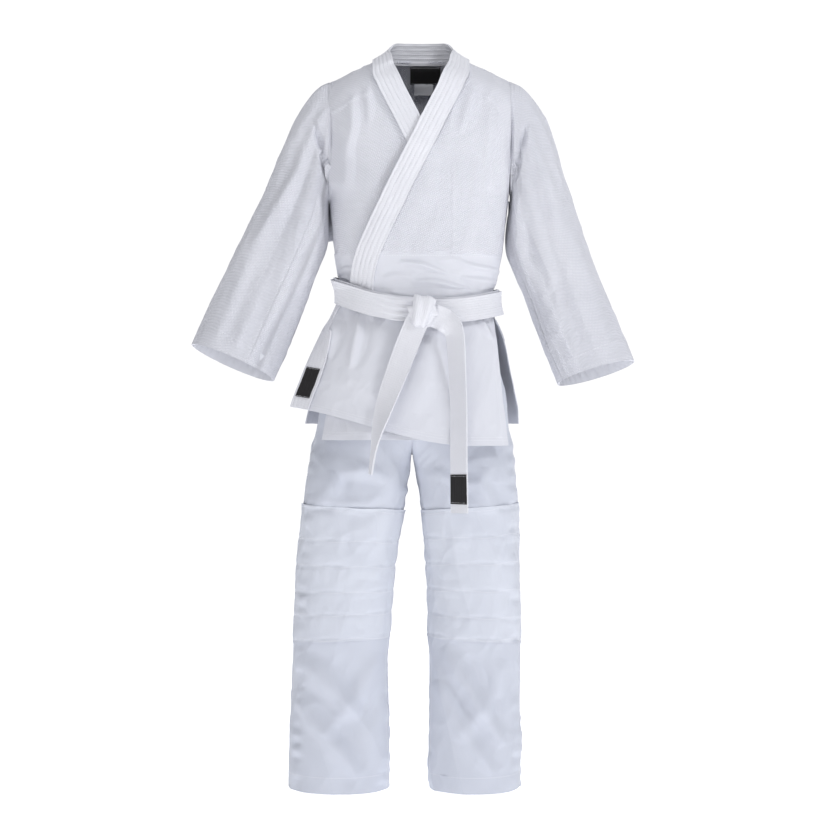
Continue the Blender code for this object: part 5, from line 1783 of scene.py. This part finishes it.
    def build_half(self, wearer: str, side: float, splay: float) -> None:
        """Front and back of one half.

        Args:
            wearer: "left" or "right", as the wearer has it.
            side: 1 for the wearer's left and -1 for the right.
            splay: how far the inseam stands from the body's middle at the hem.
        """
        top = self.waist_z - self.band_height + 0.004
        inner_top = self.crotch_x + side * 0.004
        inner_low = self.crotch_x + side * (self.apart + splay + 0.007)
        outer_low = inner_low + side * (self.hem_width - 0.002)
        outer_top = self.crotch_x + side * 0.181
        for face, part, seed in ((-1.0, "front", 160), (1.0, "back", 170)):
            rows = 300
            grid = self.half_grid(side, face, (rows, 130), top, self.hem_z)
            inside = (self.crotch_x + side * 0.09, 0.0, -0.95)
            panel = Panel(f"trouser_{part}_{wearer}", grid, self.thickness, DRILL, inside)
            panel.lift(self.thickness)
            seed += 5 if side > 0.0 else 0
            inseam = ((inner_top, -0.770), (mix(inner_top, inner_low, 0.55), -1.050), (inner_low, -1.330))
            outseam = ((outer_top, -0.700), (mix(outer_top, outer_low, 0.6), -1.050), (outer_low, -1.330))
            marks: list[Mark] = [
                Rumple(0.0022, 0.17, 0.055, -0.25 * side, seed), Rumple(0.0008, 0.05, 0.028, 0.5 * side, seed + 2),
                Pucker(inseam, 0.0022, 0.011, 0.013, seed + 3), Pucker(outseam, 0.0018, 0.010, 0.014, seed + 4),
                *self.folds(side)]
            fade = ease((-0.48 - panel.grid[..., 2]) / 0.10)
            before = panel.grid.copy()
            panel.mark(marks, 0.006)
            edge = np.linspace(0.0, 1.0, 130)[None, :]
            hold = fade * ease(edge / 0.03) * ease((1.0 - edge) / 0.02)
            panel.grid = mix(before, panel.grid, hold[..., None])
            panel.lift(0.0)
            for across in (0.045, 0.095):
                panel.stitch(np.array([0.42, 0.995]), np.array([across, across]), 0.0048, 0.0009)
            panel.stitch(np.array([0.10, 0.995]), np.array([0.965, 0.965]), 0.0048, 0.0009)
            panel.stitch(0.967, steps(2), 0.0048, 0.0009)
            nodes = (f"hip_front_{wearer}" if part == "front" else f"hip_seat_{wearer}", f"leg_{part}_{wearer}")
            panel.build(Fitting(nodes, "trousers", (0.29, 0.90), "hung", ("waist_band",), 0.235, f"leg_{wearer}",
                                (0.0, 0.0, -0.700), (0.0, 0.0, -0.806)))
            if part == "front":
                self.build_knee(wearer, side, panel, top)

    def build_knee(self, wearer: str, side: float, front: Panel, top: float) -> None:
        """The quilted patch over the knee, laid on the front that it is sewn to.

        Args:
            wearer: "left" or "right", as the wearer has it.
            side: 1 for the wearer's left and -1 for the right.
            front: the front it is sewn to.
            top: height of the front's upper edge.
        """
        rows = front.grid.shape[0]
        first = int(rows * (top - self.knee_top_z) / (top - self.hem_z))
        last = int(rows * (top - self.knee_low_z) / (top - self.hem_z))
        grid = front.grid[first:last, 2:-2].copy()
        slant = (0.014 if side > 0.0 else -0.012) * side
        share = np.linspace(0.0, 1.0, grid.shape[1])[None, :]
        down = np.linspace(0.0, 1.0, grid.shape[0])[:, None]
        grid[..., 2] += slant * (share - 0.5) * (1.0 - 2.0 * down)
        patch = Panel(f"knee_quilt_{wearer}", grid, 0.0010, KNEE, front.inside)
        lines = (0.22, 0.42, 0.62, 0.82) if side > 0.0 else (0.25, 0.44, 0.63, 0.80)
        v = down * (self.knee_top_z - self.knee_low_z)
        wobble = 0.004 * soft_noise(share * 5.0, share * 0.0 + 1.0, 181)
        quilt = 0.0
        for line in (*lines, 0.02, 0.98):
            near = v - line * (self.knee_top_z - self.knee_low_z) + wobble
            gather = 1.0 + 0.8 * soft_noise(share * 26.0, share * 0.0 + 9.0 * line, 182)
            quilt = quilt - 0.0010 * bell(near, 0.0030) * gather
        puff = 0.0016 * np.abs(soft_noise(share * 11.0, v / 0.030, 183)) + 0.0016
        patch.lift((puff + quilt) * np.ones(grid.shape[:2]))
        wide = np.linspace(0.0, 1.0, 60)
        for line in (*lines, 0.02, 0.98):
            at = line + 0.004 * soft_noise(wide * 5.0, wide * 0.0 + 1.0, 181) / 0.25
            patch.stitch(at, wide * 0.98 + 0.01, 0.0046, 0.0009)
        patch.build(Fitting((f"knee_patch_{wearer}",), f"leg_{wearer}", (0.23, 0.25), "laid",
                            (f"trouser_front_{wearer}",)))

    def build_hem(self, wearer: str, side: float) -> None:
        """The hem's facing inside one leg.

        Args:
            wearer: "left" or "right", as the wearer has it.
            side: 1 for the wearer's left and -1 for the right.
        """
        count = 110
        turn = np.linspace(-0.999, 0.999, count)[None, :]
        z = mix(self.hem_z + 0.030, self.hem_z + 0.0004, steps(16)[:, None]) * np.ones((1, count))
        front = self.leg(side, turn * np.ones(z.shape), z, -1.0)
        back = self.leg(side, turn[:, ::-1] * np.ones(z.shape), z, 1.0)
        grid = np.concatenate([front, back], axis=1)
        cut = np.concatenate([np.sin(math.pi * (0.5 + 0.5 * turn)), np.sin(math.pi * (0.5 + 0.5 * turn))], axis=1)
        grid[..., 2] -= 0.0065 * cut
        middle = tuple(grid.reshape(-1, 3).mean(axis=0))
        panel = Panel(f"hem_turn_{wearer}", grid, 0.0009, DRILL, middle, closed=True)
        panel.lift(-0.0012)
        panel.build(Fitting((f"hem_facing_{wearer}",), f"leg_{wearer}", (0.42, 0.030), "folded",
                            (f"trouser_front_{wearer}",)))

    def build_waist(self) -> None:
        """The gathered waistband with its two loops, and the crotch gusset."""
        count = 300
        angle = np.linspace(0.0, 2.0 * math.pi, count, endpoint=False)[None, :]
        z = mix(self.waist_z, self.waist_z - self.band_height, steps(30, 0.012)[:, None]) * np.ones((1, count))
        half = np.interp(z, (self.waist_z - 0.117, self.waist_z), (0.137, 0.128))
        deep = np.interp(z, (self.waist_z - 0.117, self.waist_z), (0.083, 0.078))
        grid = np.stack([-0.0055 + half * np.sin(angle), -deep * np.cos(angle), z], 2)
        band = Panel("waist_band", grid, 0.0024, DRILL, (0.0, 0.0, self.waist_z), closed=True)
        share = np.linspace(0.0, 1.0, 30)[:, None]
        gathers = 0.0012 * np.sin(58.0 * angle + 2.5 * soft_noise(angle * 3.0, angle * 0.0, 191))
        band.lift(0.0018 + gathers * np.sin(math.pi * share))
        for down in (0.12, 0.88):
            band.stitch(np.full(300, down), np.linspace(0.0, 0.997, 300), 0.0048, 0.0009)
        band.build(Fitting(("trouser_waistband",), "trousers", (0.70, 0.042), "gathered", ("jacket_back",)))
        for wearer, side in (("left", 1.0), ("right", -1.0)):
            low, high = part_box(f"waist_loop_{wearer}")
            down, across = np.meshgrid(steps(40, 0.01), steps(14, 0.03), indexing="ij")
            x = mix(float(low.x), float(high.x), across)
            z = mix(float(high.z), float(low.z), down)
            y = mix(float(high.y), float(low.y), 0.35 + 0.65 * np.sin(math.pi * down))
            loop = Panel(f"loop_{wearer}", np.stack([x, y, z], 2), 0.0010, DRILL, (0.0, 0.0, self.waist_z - 0.02))
            for end in (0.08, 0.92):
                loop.stitch(end, steps(2), 0.0024, 0.0007)
            loop.build(Fitting((f"waist_loop_{wearer}",), "trousers", (0.010, 0.036), "stretched", ("waist_band",)))
        down, across = np.meshgrid(steps(60, 0.01), steps(24, 0.02), indexing="ij")
        y, dx = mix(-0.068, 0.068, down), mix(-0.030, 0.030, across)
        grid = np.stack([self.crotch_x + dx, y, self.crotch_z + 0.007 + 2.2 * y * y + 9.0 * dx * dx], 2)
        gusset = Panel("crotch_piece", grid, self.thickness, DRILL, (self.crotch_x, 0.0, 0.0))
        gusset.stitch(steps(2), np.array([0.06, 0.06]))
        gusset.stitch(steps(2), np.array([0.94, 0.94]))
        gusset.build(Fitting(("crotch_gusset",), "trousers", (0.062, 0.142), "stretched",
                             ("trouser_front_left", "trouser_front_right")))

    def build(self) -> None:
        """All of the trousers."""
        self.build_waist()
        for wearer, side, splay in (("left", 1.0, 0.018), ("right", -1.0, 0.040)):
            self.build_half(wearer, side, splay)
            self.build_hem(wearer, side)


# ---- studio --------------------------------------------------------------------------------------


@dataclass
class Studio:
    """The pale floor, soft lights and camera."""

    distance: float = 5.0
    view_width: float = 1.55
    middle: tuple[float, float] = (-0.0037, -0.650)
    floor_z: float = -1.345

    def lamp(self, name: str, place: tuple[float, float, float], aim: tuple[float, float, float], size: float,
             power: float, colour: tuple[float, float, float]) -> None:
        """A large soft light that looks at a point.

        Args:
            name: the light's name.
            place: where it stands.
            aim: the point it looks at.
            size: the length of its side.
            power: its power, in watts.
            colour: its colour.
        """
        data = bpy.data.lights.new(name, "AREA")
        data.size, data.energy, data.color = size, power, colour
        made = bpy.data.objects.new(name, data)
        bpy.context.scene.collection.objects.link(made)
        made.location = place
        way = np.array(aim) - np.array(place)
        flat = math.hypot(way[0], way[1])
        made.rotation_euler = (math.atan2(flat, -way[2]), 0.0, math.atan2(way[1], way[0]) - 0.5 * math.pi)

    def build_floor(self) -> None:
        """A wide pale floor."""
        bpy.ops.mesh.primitive_plane_add(size=60.0, location=(0.0, 0.0, self.floor_z))
        floor = bpy.context.object
        floor.name = "floor"
        made = bpy.data.materials.new("pale floor")
        made.use_nodes = True
        shader = made.node_tree.nodes["Principled BSDF"]
        shader.inputs["Base Color"].default_value = (0.95, 0.95, 0.96, 1.0)
        shader.inputs["Roughness"].default_value = 0.9
        shader.inputs["Emission Color"].default_value = (1.0, 1.0, 1.0, 1.0)
        shader.inputs["Emission Strength"].default_value = 0.93
        floor.data.materials.append(made)

    def build_world(self) -> None:
        """White all round, dimmer as light than it looks."""
        world = bpy.data.worlds.new("studio")
        bpy.context.scene.world = world
        world.use_nodes = True
        tree = world.node_tree
        seen = tree.nodes["Background"]
        seen.inputs["Color"].default_value = (1.0, 1.0, 1.0, 1.0)
        seen.inputs["Strength"].default_value = 1.05
        dim = tree.nodes.new("ShaderNodeBackground")
        dim.inputs["Color"].default_value = (0.93, 0.95, 1.0, 1.0)
        dim.inputs["Strength"].default_value = 0.24
        path = tree.nodes.new("ShaderNodeLightPath")
        blend = tree.nodes.new("ShaderNodeMixShader")
        tree.links.new(path.outputs["Is Camera Ray"], blend.inputs[0])
        tree.links.new(dim.outputs[0], blend.inputs[1])
        tree.links.new(seen.outputs[0], blend.inputs[2])
        tree.links.new(blend.outputs[0], tree.nodes["World Output"].inputs["Surface"])

    def build(self) -> None:
        """Everything round the uniform."""
        data = bpy.data.cameras.new("camera")
        data.sensor_width = 36.0
        data.lens = 36.0 * self.distance / self.view_width
        camera = bpy.data.objects.new("camera", data)
        bpy.context.scene.collection.objects.link(camera)
        camera.location = (self.middle[0], -self.distance, self.middle[1])
        camera.rotation_euler = (0.5 * math.pi, 0.0, 0.0)
        bpy.context.scene.camera = camera
        bpy.context.scene.view_settings.view_transform = "Standard"
        self.build_floor()
        self.build_world()
        self.lamp("key", (3.2, -2.6, 2.2), (0.0, 0.0, -0.5), 0.9, 72.0, (0.97, 0.98, 1.0))
        self.lamp("fill", (-1.2, -4.2, 0.7), (0.0, 0.0, -0.5), 1.6, 17.0, (1.0, 0.985, 0.96))
        self.lamp("top", (0.0, -0.4, 2.6), (0.0, 0.0, -0.4), 1.6, 20.0, (1.0, 1.0, 1.0))
        self.lamp("neck", (0.0, -1.1, 0.60), (0.0, 0.05, -0.03), 0.25, 1.6, (1.0, 1.0, 1.0))
        self.lamp("behind", (0.6, 3.4, 1.2), (0.0, 0.0, -0.6), 2.4, 40.0, (1.0, 1.0, 1.0))


# ---- run -----------------------------------------------------------------------------------------


def main() -> None:
    """Builds every class in order."""
    logging.basicConfig(level=logging.INFO, format="%(name)s: %(message)s")
    Studio().build()
    JacketBody().build()
    Collar().build()
    Labels().build()
    Sleeve("left", 1.0, 20.0,
           ((0.170, -0.031), (0.186, -0.039), (0.205, -0.059), (0.232, -0.102), (0.250, -0.146), (0.269, -0.213),
            (0.291, -0.287), (0.317, -0.353), (0.342, -0.420), (0.368, -0.487), (0.392, -0.543)),
           ((0.170, -0.251), (0.160, -0.330), (0.170, -0.376), (0.184, -0.413), (0.209, -0.479), (0.253, -0.584))
           ).build()
    Sleeve("right", -1.0, 24.5,
           ((0.170, -0.031), (0.186, -0.039), (0.205, -0.059), (0.232, -0.102), (0.250, -0.146), (0.279, -0.213),
            (0.314, -0.287), (0.347, -0.353), (0.379, -0.420), (0.405, -0.475), (0.421, -0.512)),
           ((0.170, -0.251), (0.172, -0.330), (0.185, -0.368), (0.203, -0.413), (0.232, -0.479), (0.273, -0.577))
           ).build()
    Skirt().build()
    Belt().build()
    Trousers().build()


if __name__ == "__main__":
    main()
